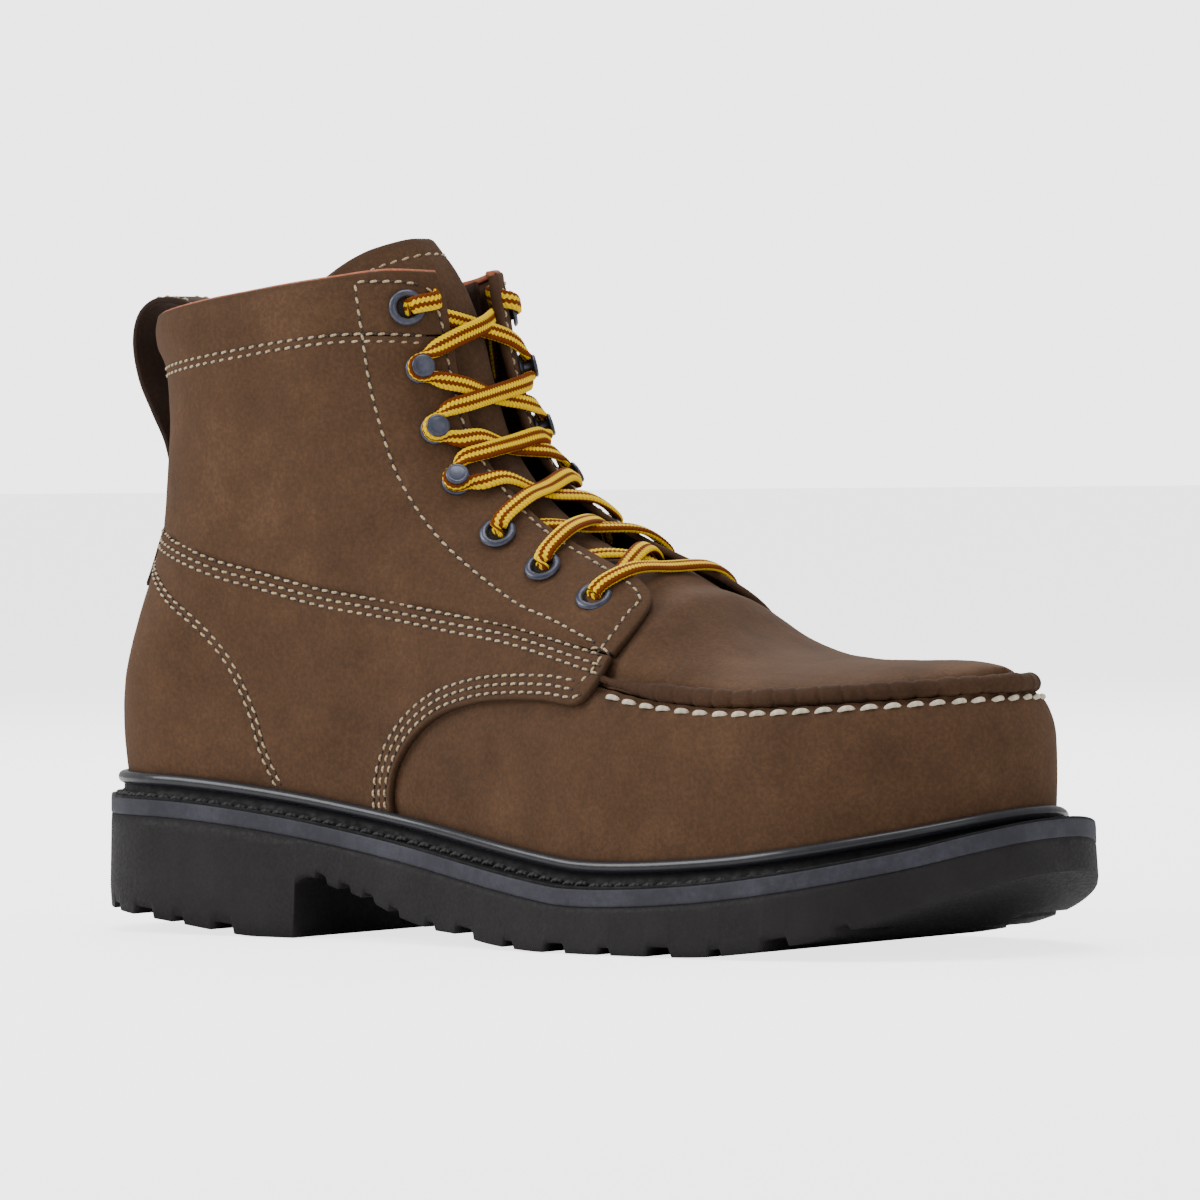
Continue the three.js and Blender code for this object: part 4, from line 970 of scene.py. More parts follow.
def laceHalf(side):
    top, third, second, low = eyeletPlaces
    topHook, middleHook, lowHook = hookPlaces
    other = -side
    f, g = Fitting(top, side), Fitting(low, side)
    under = lambda x, z: (skin(x, z, side, -lace["tuckedIn"]), -f.n, None)
    return (outThrough(low, side, 1.5, 0)[::-1][:4] + [(g.at(-4.3, -3, 2), -g.n, None)]
            + acrossTongue(low, second, side, True)[1:] + outThrough(second, other, -1.5, 1.2)
            + acrossTongue(second, third, other, True) + outThrough(third, side, -1.5, 1.2)
            + acrossTongue(third, lowHook, side, False) + roundHook(lowHook, other)
            + acrossTongue(lowHook, middleHook, other, False) + roundHook(middleHook, side)
            + acrossTongue(middleHook, topHook, side, False) + roundHook(topHook, other)
            + acrossTongue(topHook, top, other, True) + outThrough(top, side, -1.5, 0.4)
            + [(f.at(1.5, -8.2, 0.9), f.n - 0.6 * f.away, None), (f.at(-1.4, -9.3, 1.9), -f.away, None),
               (f.at(-4.1, -7, 3.4), -f.n - 0.3 * f.away, None), (f.at(-4.7, -0.5, 4.6), -f.n, None),
               (f.at(-4.4, 6.6, 1.5), -f.n, None), under(106.8, 165), under(107.2, 153)])


def laceKnots():
    k = alongRidge(*eyeletPlaces[3])
    out = ridgeFrame(k)[2]
    x, z = frontX(k), frontZ(k)
    bar = skin(x, z, outer) * [1, 0, 1] + out * 1.9
    low = [(skin(x, z, side, 1.6), skinNormal(x, z, side), None) for side in (outer, inner)]
    return laceHalf(outer)[::-1] + [low[0], (bar, out, None), low[1]] + laceHalf(inner)


def centripetal(points, perSpan):
    # a centripetal Catmull-Rom curve, evenly spread between its knots
    p = np.array(points)
    p = np.concatenate([[2 * p[0] - p[1]], p, [2 * p[-1] - p[-2]]])
    out, marks = [], []
    for i in range(1, len(p) - 2):
        d0, d1, d2 = (np.linalg.norm(p[i + j + 1] - p[i + j]) ** 0.5 for j in (-1, 0, 1))
        d0, d2 = max(d0, 1e-4), max(d2, 1e-4)
        t1 = ((p[i] - p[i - 1]) / d0 - (p[i + 1] - p[i - 1]) / (d0 + d1) + (p[i + 1] - p[i]) / d1) * d1
        t2 = ((p[i + 1] - p[i]) / d1 - (p[i + 2] - p[i]) / (d1 + d2) + (p[i + 2] - p[i + 1]) / d2) * d1
        w = (np.arange(perSpan) / perSpan)[:, None]
        out.append(p[i] * (2 * w ** 3 - 3 * w ** 2 + 1) + t1 * (w ** 3 - 2 * w ** 2 + w)
                   + p[i + 1] * (3 * w ** 2 - 2 * w ** 3) + t2 * (w ** 3 - w ** 2))
        marks.append(i - 1 + w[:, 0])
    return np.concatenate(out + [p[-2:-1]]), np.concatenate(marks + [[len(points) - 1.0]])


def laceRibbon():
    knots = laceKnots()
    flats = []
    for _, m, _ in knots:
        m = unit(np.array(m, float))
        flats.append(-m if flats and m.dot(flats[-1]) < 0 else m)
    dense, marks = centripetal([k[0] for k in knots], 24)
    run = lengths(dense)
    even = np.arange(0, run[-1], lace["step"])
    pick = lambda a: np.stack([np.interp(even, run, a[:, k]) for k in range(a.shape[1])], -1)
    knotAt = np.interp(even, run, marks)
    flat = np.stack([np.interp(knotAt, np.arange(len(knots)), np.array(flats)[:, k]) for k in range(3)], -1)
    width = np.interp(knotAt, np.arange(len(knots)), [k[2] or lace["width"] for k in knots])
    p = pick(dense)
    for _ in range(2):
        p[1:-1] = (p[:-2] + 2 * p[1:-1] + p[2:]) / 4
    t = unit(np.gradient(p, axis=0))
    for _ in range(30):  # ease the twist
        flat[1:-1] = (flat[:-2] + 2 * flat[1:-1] + flat[2:]) / 4
        width[1:-1] = (width[:-2] + 2 * width[1:-1] + width[2:]) / 4
    flat = unit(flat - t * (flat * t).sum(1)[:, None])
    b = np.cross(t, flat)
    turn = np.linspace(0, 2 * np.pi, lace["around"], endpoint=False)
    c, s = np.cos(turn), np.sin(turn)
    wide = np.sign(c) * np.abs(c) ** 0.8
    high = np.sign(s) * np.abs(s) ** 0.72
    thick = lace["thickness"] * (1 + 0.12 * (1 - width / lace["width"]))
    # braid: chevron ridges that meet at the middle of each face
    phase = even[:, None] / lace["braid"] + np.abs(wide)[None] * 1.4 + (s[None] > 0) * 0.5
    ridgeUp = 0.1 * np.abs(np.sin(phase * np.pi)) - 0.05
    grow = 1 + ridgeUp * 0.9
    grid = (p[:, None] + b[:, None] * (width[:, None] / 2 * wide * grow)[..., None]
            + flat[:, None] * (thick[:, None] / 2 * high * (1 + ridgeUp * 1.5))[..., None])
    verts, faces = tube(grid)
    marks = {"across": np.tile(wide, len(even)), "run": np.repeat(even, lace["around"]), "up": np.tile(s, len(even))}
    obj = piece("bootLace", verts, faces, replaces=["lace"], tidy=False, attributes=marks)
    return obj, run[-1]


def placed(rings, f, lift=0.0):
    # a turned part's rings set on the leather at a fitting
    x = unit(np.cross(f.rise, f.n))
    y = np.cross(f.n, x)
    return (f.centre + rings[..., :1] * x + rings[..., 1:2] * y + (rings[..., 2:] + lift) * f.n)


def turnedPiece(name, profile, f, lift, replaces=(), ring=False):
    # a ring's profile closes on itself, and any other starts and ends on the axis
    grid = placed(lathe(profile), f, lift)
    verts, faces = tube(np.transpose(grid, (1, 0, 2)), True) if ring else tube(grid)
    return piece(name, verts, faces, replaces=replaces)


eyeletShape = dict(flange=5.1, bore=2.85, crown=4.0, lift=0.45, topLift=0.75)
hookShape = dict(base=4.2, stem=1.7, cap=3.2)


def eyeletProfiles():
    flange, bore, crown = (eyeletShape[key] for key in ("flange", "bore", "crown"))
    ring = [[flange - 0.5, -0.1], [flange, 0.15], [flange, 0.4], [flange - 0.18, 0.72], [4.55, 1.02], [crown, 1.18],
            [3.45, 1.1], [3.1, 0.85], [bore, 0.4], [bore, -2.6], [bore + 0.3, -2.6], [bore + 0.3, -0.1]]
    # well: a dark disc that closes each eyelet's bore, painted shade for the inside of the hole
    well = [[0.02, 0.12], [1.5, 0.12], [bore + 0.12, 0.2], [bore + 0.12, -0.5], [0.02, -0.5]]
    return ring, well


def hookProfile():
    base, stem, cap = (hookShape[key] for key in ("base", "stem", "cap"))
    return [[0.02, -0.2], [base, -0.2], [base, 0.35], [base - 0.3, 0.7], [3.4, 0.85], [stem + 0.3, 0.95],
            [stem, 1.3], [stem, 3.4], [stem + 0.4, 3.65], [cap - 0.3, 3.75], [cap, 3.95], [cap, 4.35],
            [cap - 0.25, 4.62], [2.5, 4.78], [2.35, 4.66], [2.2, 4.72], [1.2, 4.86], [0.02, 4.9]]


def fittings():
    made, wells = [], []
    ring, well = eyeletProfiles()
    for label, side in sides.items():
        for i, spot in enumerate(eyeletPlaces, 1):
            f = Fitting(spot, side)
            lift = eyeletShape["topLift" if i == 1 else "lift"]
            made.append(turnedPiece(f"eyeletRing_{label}_{i}", ring, f, lift, [f"eyelet_{label}_{i}"], True))
            wells.append(turnedPiece(f"eyeletWell_{label}_{i}", well, f, lift))
        for i, spot in enumerate(hookPlaces, 1):
            made.append(turnedPiece(f"hookStud_{label}_{i}", hookProfile(), Fitting(spot, side), 0,
                                    [f"hook_{label}_{i}"]))
    return made, wells


def sweptRing(p, across, up, ring, size):
    # a section carried along a line, and scaled at each place
    return (p[:, None] + across[:, None] * (ring[:, 0] * size)[..., None]
            + up[:, None] * (ring[:, 1] * size)[..., None])


def aglets():
    made = []
    for label, side in sides.items():
        p, n = surfaceRail(spline([[107.2, 152.6], [108, 144], [109.6, 136]], 24), side)
        p = p - n * lace["tuckedIn"]
        across = np.cross(unit(np.gradient(p, axis=0)), n)
        crimp = 1 - 0.06 * (np.arange(24) % 6 == 3)
        verts, faces = tube(sweptRing(p, across, n, ringSection(3.3, 1.8, 14), crimp[:, None]))
        made.append(piece(f"laceTip_{label}", verts, faces, replaces=[f"aglet_{label}"]))
    return made


print("lacing")
laceObj, laceLength = laceRibbon()
print("lace length, mm:", round(float(laceLength)))
metalPieces, wellPieces = fittings()
tipPieces = aglets()

# Tongue
tongueShape = dict(depth=7.2, thickness=2.4, topDrop=7.0, width=50, length=140, seamIn=4.2, roll=0.9)
tongueHalf = through([[90, 15], [110, 19], [140, 22.5], [175, 23.8], [195, 22.6]])
tongueRise = through([[97, 6.2], [105, 6], [111, 5.5], [117, 5.1], [123, 4.2], [131, 3.2], [141, 2.9]])


def hemSpread(count, close):
    # evenly spread from 0 to 1, and closer together near the ends that close lists
    return np.unique(np.concatenate([np.linspace(0, 1, count)] + close))


def tonguePanel():
    first = int(np.argmax(ridge[:, 0] > 200.5))
    last = int(np.argmax(ridge[:, 1] < 197.5))
    length, width, seamIn = (tongueShape[key] for key in ("length", "width", "seamIn"))
    t = hemSpread(130, [1 - np.array([0.1, 0.3, 0.6, 1.0, 1.5]) / length])
    close = np.array([0.1, 0.3, 0.6, 1.1]) / 56
    u = hemSpread(56, [close, 1 - close])
    share = 2 * u - 1
    k = lerp(float(first), float(last), t)
    i = np.minimum(k.astype(int), len(ridge) - 2)
    base = lerp(ridge[i], ridge[i + 1], (k - i)[:, None])
    down = unit(ridge[i + 1] - ridge[i])
    bx, bz, ix, iz = (np.repeat(a[:, None], len(u), 1) for a in (base[:, 0], base[:, 1], down[:, 1], -down[:, 0]))
    y = tongueHalf(bz) * share
    drop = tongueShape["topDrop"] * (np.clip((t[:, None] - 0.75) / 0.25, 0, 1) ** 2) * share[None] ** 4
    layers = []
    for layer in (0, 1):
        depth = tongueShape["depth"] + layer * tongueShape["thickness"]
        deep = depth - (tongueShape["depth"] - tongueRise(bz)) * ease(-np.abs(y), -12.5, -3)
        found = [search(lambda q: upperHalf(bx + ix * q, bz + iz * q, side, deep) > np.abs(y),
                        np.full(y.shape, 60.0), np.zeros(y.shape)) for side in (outer, inner)]
        d = np.where(y < 0, *found)
        leanAt = bz + iz * depth
        lean = np.where(leanAt > 158, -0.0105 * (leanAt - 158) ** 2, 0)
        layers.append(np.stack([bx + ix * d + lean, y, bz + iz * d - drop], -1))
    front, back = layers
    n = unit(front - back)
    rim = np.minimum(np.minimum(u, 1 - u)[None] * width, (1 - t)[:, None] * length)
    dip = 0.25 * np.exp(-((rim - seamIn) / 0.8) ** 2)
    waves = 0.3 * softNoise(bz, y, 30, 51)
    roll = rolled(rim, tongueShape["roll"]) * tongueShape["roll"]
    front = front + n * (waves * ease(rim, 0, 4) - roll - dip)[..., None]
    back = back + n * roll[..., None]
    obj = leatherPiece("tonguePanel", [front, back, np.exp(-rim / 1.1)], "tongue", ["tongue"])
    return obj, tongueStitches(front, n, t, u)


def tongueStitches(front, n, t, u):
    # one row up one side, across the top and down the other
    length, width, seamIn = (tongueShape[key] for key in ("length", "width", "seamIn"))
    top = int(np.argmin(np.abs((1 - t) * length - seamIn)))
    low, high = int(np.argmin(np.abs(u * width - seamIn))), int(np.argmin(np.abs((1 - u) * width - seamIn)))
    start = int(len(t) * 0.55)
    path = ([(j, low) for j in range(start, top)] + [(top, j) for j in range(low, high + 1)]
            + [(j, high) for j in range(top - 1, start, -1)])
    i, j = np.array(path).T
    c, along, m = resample(front[i, j], n[i, j], thread["pitch"])
    return sewn("tongueThread", (c + m * 0.15, along, m), thread, "tongue")


print("tongue")
tonguePiece, tongueThread = tonguePanel()

# Back strip and pull loop
strapShape = dict(half=8.0, thickness=2.2, seamAt=6.3, groove=0.3, tuck=1.1)


def backSurface(y, z, side):
    return search(lambda x: upperHalf(x, z, side) <= y, backX(z), backX(z) + 40)


def pullStrap():
    line = spline([[6.2, 96], [11.4, 106], [15.9, 116], [18.1, 126], [16.2, 136], [11.4, 145], [6.6, 154.5],
                   [4.6, 164.5], [6.4, 172], [11.6, 176], [18.4, 176.4], [24.8, 174.6], [27.6, 169], [29.4, 161],
                   [29.8, 154]], 15 * 16)
    run = lengths(line)
    even = np.linspace(0, run[-1], 150)
    x, z = (np.interp(even, run, line[:, k]) for k in (0, 1))
    t = unit(np.gradient(np.stack([x, z], -1), axis=0))
    outX, outZ = -t[:, 1], t[:, 0]
    share = even / run[-1]
    hug = np.where((z < 131) & (share < 0.4), ease(-z, -136, -118), 0)  # the part that lies on the heel
    tuck = strapShape["tuck"] * (1 - ease(share, 0, 0.14))

    def place(y, lift):
        # a line along the strap: across it by y, and off its middle face by lift
        wrap = backSurface(np.full(len(x), abs(y)), z, outer if y < 0 else inner) - backX(z)
        return np.stack([x + outX * lift + hug * wrap + tuck, np.full(len(x), y), z + outZ * lift], -1)
    ring = ringSection(2 * strapShape["half"], strapShape["thickness"], 36, 5)
    ends = np.minimum(ease(even, -0.6, 0.7), 1)
    verts = np.empty((len(x), len(ring), 3))
    for j, (y, h) in enumerate(ring):
        groove = strapShape["groove"] * math.exp(-((abs(y) - strapShape["seamAt"]) / 0.5) ** 2) * np.sign(h)
        verts[:, j] = place(y, (h - groove) * ends)
    mesh, faces = tube(verts)
    wear = np.exp(-(strapShape["half"] - np.abs(ring[:, 0])) / 0.8)
    obj = piece("pullStrap", mesh, faces, replaces=["pull_strap"],
                attributes={"wear": np.tile(wear, len(x))})
    n = np.stack([outX, 0 * outX, outZ], -1)
    lines = [resample(place(y, 0.95)[4:-6], n[4:-6], thread["pitch"])
             for y in (-strapShape["seamAt"], strapShape["seamAt"])]
    return obj, sewn("strapThread", joined(lines), strapStitch)


print("pull loop")
strapPiece, strapThread = pullStrap()

# Lining and footbed
lining = dict(depth=4.5, thickness=1.2, floor=3.4, backTop=169.5, frontX=103, frontTop=180)
rim = dict(width=2.7, thickness=2.0, inset=1.75, drop=0.55)
footbedSize = dict(behind=8, ahead=9, under=3.15, top=8.1, gap=0.95)


def liningBack():
    frontEdge = edge([[170, 26], [184, 44], [187, 62], [184, 80], [166, 92], [152, 98], [138, 106], [125, 118],
                      [115, 134], [108, 152], [105, 168], [103, 180]])
    layers = []
    for inset in (lining["depth"], lining["depth"] + lining["thickness"]):
        def back(v):
            z = lerp(38.4 + lining["floor"], lining["backTop"], np.asarray(v, float))
            return np.stack([backX(z) + inset, z], -1)

        def low(u):
            x = lerp(float(back(0.0)[0]), 170, u)
            return np.stack([x, ledgeZ(x) + lining["floor"]], -1)

        def high(u):
            return np.stack([lerp(float(back(1.0)[0]), lining["frontX"], u),
                             lerp(lining["backTop"], lining["frontTop"], u)], -1)
        x, z = patch(low, high, back, frontEdge)(fromSeam(np.linspace(0, 1, 90)), np.linspace(0, 1, 70))
        waves = 0.35 * softNoise(x, z, 26, 61) * ease(z, 40, 60)
        layers += roundBack([[onUpper(x, z, side, inset + waves)] for side in (outer, inner)])
    return leatherPiece("liningQuarter", layers + [np.zeros(layers[0].shape[:2])],
                        replaces=["lining_quarter"])


def liningRim():
    # the lining's folded edge, showing along the top of the collar
    line = fromBack(collarTop)(fromSeam(np.linspace(0, 1, 150)))
    p, n = roundBack([surfaceRail(line, side) for side in (outer, inner)])
    n = unit(n * [1, 1, 0])
    up = unit(np.cross(unit(np.gradient(p, axis=0)), n))
    up = up * np.sign(up[:, 2:])
    centre = p - n * rim["inset"] - up * rim["drop"]
    rough = 1 + 0.05 * softNoise(np.arange(len(p)) * 1.4, 0 * p[:, 0], 9, 71)[:, None]
    verts, faces = tube(sweptRing(centre, n, up, ringSection(rim["width"], rim["thickness"], 20, 3), rough))
    return piece("liningRim", verts, faces, attributes={"wear": np.zeros(len(verts))})


def footbedPad():
    start, end = bootSize["heelBack"] + footbedSize["behind"], upperTip - footbedSize["ahead"]
    x = lerp(start, end, (1 - np.cos(np.linspace(0.02, np.pi - 0.02, 110))) / 2)
    across = np.linspace(-1, 1, 41)
    inset = lining["depth"] + lining["thickness"] + footbedSize["gap"]
    half = {side: np.maximum(upperHalf(x, ledgeZ(x) + 5, side, inset), 0.6)[:, None] for side in (outer, inner)}
    y = across * np.where(across < 0, half[outer], half[inner]) + centreLine(x)[:, None]
    cup = 0.64 * ease(np.abs(across), 0.55, 1.0) * (1 - ease(x, 90, 150))[:, None]
    dish = 1.2 * (1 - across ** 2) * (1 - ease(x, 60, 110))[:, None]
    top = ledgeZ(x)[:, None] + footbedSize["top"] + cup - dish - ease(np.abs(across), 0.9, 1.0) ** 2
    bottom = np.repeat(ledgeZ(x)[:, None] + footbedSize["under"], len(across), 1)
    xx = np.repeat(x[:, None], len(across), 1)
    verts, faces = shell(np.stack([xx, y, top], -1), np.stack([xx, y, bottom], -1))
    return piece("footbedPad", verts, faces, replaces=["footbed"])


print("lining and footbed")
liningPiece = liningBack()
rimPiece = liningRim()
footbed = footbedPad()

# Camera, light and floor
shot = dict(target=(0.0, 0.00022, 0.090), azimuth=38.5, elevation=1.2, distance=2.2, lens=242.2, roll=-0.7,
            shift=(0.02, 0.00625))
light = dict(key=22.0, fill=3.5, rim=15.0, top=14.0, world=0.55, backdrop=3.6, floor=2.4)


def makeCamera():
    target = Vector(shot["target"])
    az, el = math.radians(shot["azimuth"]), math.radians(shot["elevation"])
    way = Vector((math.sin(az) * math.cos(el), -math.cos(az) * math.cos(el), math.sin(el)))
    data = bpy.data.cameras.new("shot")
    cam = bpy.data.objects.new("shot", data)
    bpy.context.scene.collection.objects.link(cam)
    cam.location = target + way * shot["distance"]
    turn = (-way).to_track_quat("-Z", "Y").to_matrix().to_4x4()
    cam.matrix_world = Matrix.Translation(cam.location) @ turn @ Matrix.Rotation(math.radians(shot["roll"]), 4, "Z")
    data.lens, data.sensor_width = shot["lens"], 36
    data.shift_x, data.shift_y = shot["shift"]
    data.clip_end = 50
    bpy.context.scene.camera = cam


def areaLight(name, place, size, power, colour=(1, 1, 1)):
    data = bpy.data.lights.new(name, "AREA")
    data.shape, data.size, data.energy, data.color = "DISK", size, power, colour
    lamp = bpy.data.objects.new(name, data)
    bpy.context.scene.collection.objects.link(lamp)
    lamp.location = place
    lamp.rotation_euler = (Vector((0, 0, 0.08)) - Vector(place)).to_track_quat("-Z", "Y").to_euler()


makeCamera()
areaLight("key", (-1.15, -1.15, 1.1), 1.1, light["key"])
areaLight("fill", (1.7, -0.6, 0.9), 1.2, light["fill"])
areaLight("rim", (-0.9, 1.1, 1.2), 0.9, light["rim"])
areaLight("top", (0.15, -0.1, 1.7), 1.2, light["top"])
world = bpy.data.worlds.new("studio")
bpy.context.scene.world = world
world.use_nodes = True
sky = world.node_tree
soft, seen = sky.nodes["Background"], sky.nodes.new("ShaderNodeBackground")
soft.inputs[0].default_value = seen.inputs[0].default_value = (1, 1, 1, 1)
soft.inputs[1].default_value, seen.inputs[1].default_value = light["world"], light["backdrop"]
either, path = sky.nodes.new("ShaderNodeMixShader"), sky.nodes.new("ShaderNodeLightPath")
sky.links.new(path.outputs["Is Camera Ray"], either.inputs[0])
sky.links.new(soft.outputs[0], either.inputs[1])
sky.links.new(seen.outputs[0], either.inputs[2])
sky.links.new(either.outputs[0], sky.nodes["World Output"].inputs["Surface"])
bpy.ops.mesh.primitive_plane_add(size=30, location=(0, 0, -0.0002))
floor = bpy.context.object
floor.name = "floor"

# Shader groups
def newGroup(name, inputs, outputs):
    group = bpy.data.node_groups.new(name, "ShaderNodeTree")
    for label, kind, value in inputs:
        socket = group.interface.new_socket(name=label, in_out="INPUT", socket_type=kind)
        if value is not None:
            socket.default_value = value
    for label, kind in outputs:
        group.interface.new_socket(name=label, in_out="OUTPUT", socket_type=kind)
    start = group.nodes.new("NodeGroupInput")
    end = group.nodes.new("NodeGroupOutput")
    return group, start, end


class Wiring:
    # short hands for making nodes in a tree
    def __init__(self, tree):
        self.tree = tree

    def node(self, kind, **settings):
        n = self.tree.nodes.new("ShaderNode" + kind)
        for key, value in settings.items():
            setattr(n, key, value)
        return n

    def feed(self, socket, value):
        if isinstance(value, bpy.types.NodeSocket):
            self.tree.links.new(value, socket)
        elif value is not None:
            socket.default_value = value

    def math(self, operation, a, b=None, c=None, clamp=False):
        n = self.node("Math", operation=operation, use_clamp=clamp)
        for socket, value in zip(n.inputs, (a, b, c)):
            self.feed(socket, value)
        return n.outputs[0]

    def mix(self, factor, a, b, blend="MIX"):
        n = self.node("Mix", data_type="RGBA", blend_type=blend)
        self.feed(n.inputs[0], factor)
        self.feed(n.inputs[6], a)
        self.feed(n.inputs[7], b)
        return n.outputs[2]

    def noise(self, place, scale, detail=3.0, roughness=0.55, stretch=None):
        n = self.node("TexNoise")
        if stretch is not None:
            m = self.node("Mapping")
            m.inputs["Scale"].default_value = stretch
            self.feed(m.inputs["Vector"], place)
            place = m.outputs[0]
        self.feed(n.inputs["Vector"], place)
        self.feed(n.inputs["Scale"], scale)
        self.feed(n.inputs["Detail"], detail)
        self.feed(n.inputs["Roughness"], roughness)
        return n.outputs["Fac"]

    def band(self, value, low, high, toLow=0.0, toHigh=1.0):
        n = self.node("MapRange", interpolation_type="SMOOTHSTEP")
        self.feed(n.inputs["Value"], value)
        for label, amount in (("From Min", low), ("From Max", high), ("To Min", toLow), ("To Max", toHigh)):
            self.feed(n.inputs[label], amount)
        return n.outputs["Result"]


def napGroup():
    # brushed leather: soft clouds, fine nap and the odd scuff
    group, start, end = newGroup("brushedNap", [
        ("Colour", "NodeSocketColor", (0.1, 0.06, 0.04, 1)), ("Light", "NodeSocketColor", (0.3, 0.2, 0.14, 1)),
        ("Dark", "NodeSocketColor", (0.05, 0.03, 0.02, 1)), ("Cloud", "NodeSocketFloat", 0.5),
        ("Wear", "NodeSocketFloat", 0.0)],
        [("Colour", "NodeSocketColor"), ("Height", "NodeSocketFloat"), ("Roughness", "NodeSocketFloat")])
    w = Wiring(group)
    place = w.node("TexCoord").outputs["Object"]
    big = w.noise(place, 22.0, 4.0, 0.6)
    middle = w.noise(place, 75.0, 5.0, 0.65)
    nap = w.noise(place, 900.0, 4.0, 0.7)
    fibre = w.noise(place, 2600.0, 2.0, 0.6, (1.0, 1.0, 0.45))
    cloud = w.math("MULTIPLY_ADD", middle, 0.45, w.math("MULTIPLY", big, 0.6))
    lit = w.math("MULTIPLY", w.band(cloud, 0.5, 0.72), start.outputs["Cloud"])
    shade = w.math("MULTIPLY", w.band(cloud, 0.52, 0.36), start.outputs["Cloud"])
    colour = w.mix(lit, start.outputs["Colour"], start.outputs["Light"])
    colour = w.mix(shade, colour, start.outputs["Dark"])
    speckle = w.band(nap, 0.35, 0.7, 0.80, 1.16)
    grey = w.node("CombineColor")
    for k in range(3):
        w.feed(grey.inputs[k], speckle)
    colour = w.mix(1.0, colour, grey.outputs[0], "MULTIPLY")
    worn = w.math("MULTIPLY", start.outputs["Wear"], w.band(middle, 0.3, 0.7, 0.45, 1.0))
    colour = w.mix(w.math("MULTIPLY", worn, 0.75), colour, start.outputs["Dark"])
    height = w.math("MULTIPLY_ADD", fibre, 0.4, nap)
    w.feed(end.inputs["Colour"], colour)
    w.feed(end.inputs["Height"], height)
    w.feed(end.inputs["Roughness"], w.band(nap, 0.3, 0.7, 0.82, 0.95))
    return group


def rubberGroup():
    # moulded and buffed rubber: fine pits, drag lines and dust
    group, start, end = newGroup("buffedRubber", [
        ("Colour", "NodeSocketColor", (0.03, 0.028, 0.03, 1)), ("Dust", "NodeSocketColor", (0.12, 0.12, 0.13, 1)),
        ("Dusting", "NodeSocketFloat", 0.4), ("Scale", "NodeSocketFloat", 600.0)],
        [("Colour", "NodeSocketColor"), ("Height", "NodeSocketFloat"), ("Roughness", "NodeSocketFloat")])
    w = Wiring(group)
    place = w.node("TexCoord").outputs["Object"]
    fine = w.noise(place, start.outputs["Scale"], 4.0, 0.7)
    drag = w.noise(place, 160.0, 3.0, 0.6, (0.18, 0.18, 2.2))
    blot = w.noise(place, 45.0, 4.0, 0.6)
    dust = w.math("MULTIPLY", w.band(w.math("MULTIPLY_ADD", fine, 0.5, w.math("MULTIPLY", blot, 0.6)), 0.42, 0.75),
                  start.outputs["Dusting"])
    colour = w.mix(dust, start.outputs["Colour"], start.outputs["Dust"])
    w.feed(end.inputs["Colour"], colour)
    w.feed(end.inputs["Height"], w.math("MULTIPLY_ADD", drag, 0.7, fine))
    w.feed(end.inputs["Roughness"], w.band(fine, 0.3, 0.7, 0.55, 0.8))
    return group


def threadGroup():
    # two twisted plies, by the mark that runs along each stitch
    group, start, end = newGroup("twistedThread", [
        ("Colour", "NodeSocketColor", (0.7, 0.6, 0.45, 1)), ("Shade", "NodeSocketColor", (0.4, 0.3, 0.2, 1)),
        ("Turns", "NodeSocketFloat", 1.6)],
        [("Colour", "NodeSocketColor"), ("Height", "NodeSocketFloat")])
    w = Wiring(group)
    run = w.node("Attribute", attribute_name="run").outputs["Fac"]
    place = w.node("TexCoord").outputs["Object"]
    fuzz = w.noise(place, 3000.0, 2.0)
    ply = w.math("SINE", w.math("MULTIPLY", w.math("MULTIPLY", run, start.outputs["Turns"]), 6.283))
    ply = w.math("MULTIPLY_ADD", ply, 0.5, 0.5)
    tone = w.noise(place, 120.0, 2.0)
    w.feed(end.inputs["Colour"], w.mix(w.math("MULTIPLY", w.math("ADD", w.math("MULTIPLY", ply, 0.5),
                                                                 w.band(tone, 0.35, 0.7, 0.0, 0.5)), 0.7),
                                       start.outputs["Colour"], start.outputs["Shade"]))
    w.feed(end.inputs["Height"], w.math("MULTIPLY_ADD", fuzz, 0.5, ply))
    return group


groups = {"nap": napGroup(), "rubber": rubberGroup(), "thread": threadGroup()}


def srgb(r, g, b):
    return tuple(((c / 255 + 0.055) / 1.055) ** 2.4 if c > 10 else c / 255 / 12.92 for c in (r, g, b)) + (1.0,)


def newMaterial(name, **settings):
    material = bpy.data.materials.new(name)
    material.use_nodes = True
    w = Wiring(material.node_tree)
    shader = material.node_tree.nodes["Principled BSDF"]
    for key, value in settings.items():
        shader.inputs[key].default_value = value
    return material, w, shader


def bumped(w, shader, height, strength, distance):
    bump = w.node("Bump")
    w.feed(bump.inputs["Height"], height)
    bump.inputs["Strength"].default_value = strength
    bump.inputs["Distance"].default_value = distance
    w.feed(shader.inputs["Normal"], bump.outputs[0])


nubuck = dict(colour=srgb(84, 60, 42), light=srgb(106, 78, 56), dark=srgb(64, 45, 31), cloud=0.55, nap=0.45)


def brushedLeather(name, colour, light, dark, cloud, nap, sheen=0.12):
    material, w, shader = newMaterial(name, **{"Sheen Weight": sheen, "Sheen Roughness": 0.45,
                                               "Specular IOR Level": 0.2})
    shader.inputs["Sheen Tint"].default_value = light
    g = w.node("Group", node_tree=groups["nap"])
    g.inputs["Colour"].default_value, g.inputs["Light"].default_value = colour, light
    g.inputs["Dark"].default_value, g.inputs["Cloud"].default_value = dark, cloud
    w.feed(g.inputs["Wear"], w.node("Attribute", attribute_name="wear").outputs["Fac"])
    w.feed(shader.inputs["Base Color"], g.outputs["Colour"])
    w.feed(shader.inputs["Roughness"], g.outputs["Roughness"])
    bumped(w, shader, g.outputs["Height"], nap, 0.00025)
    return material


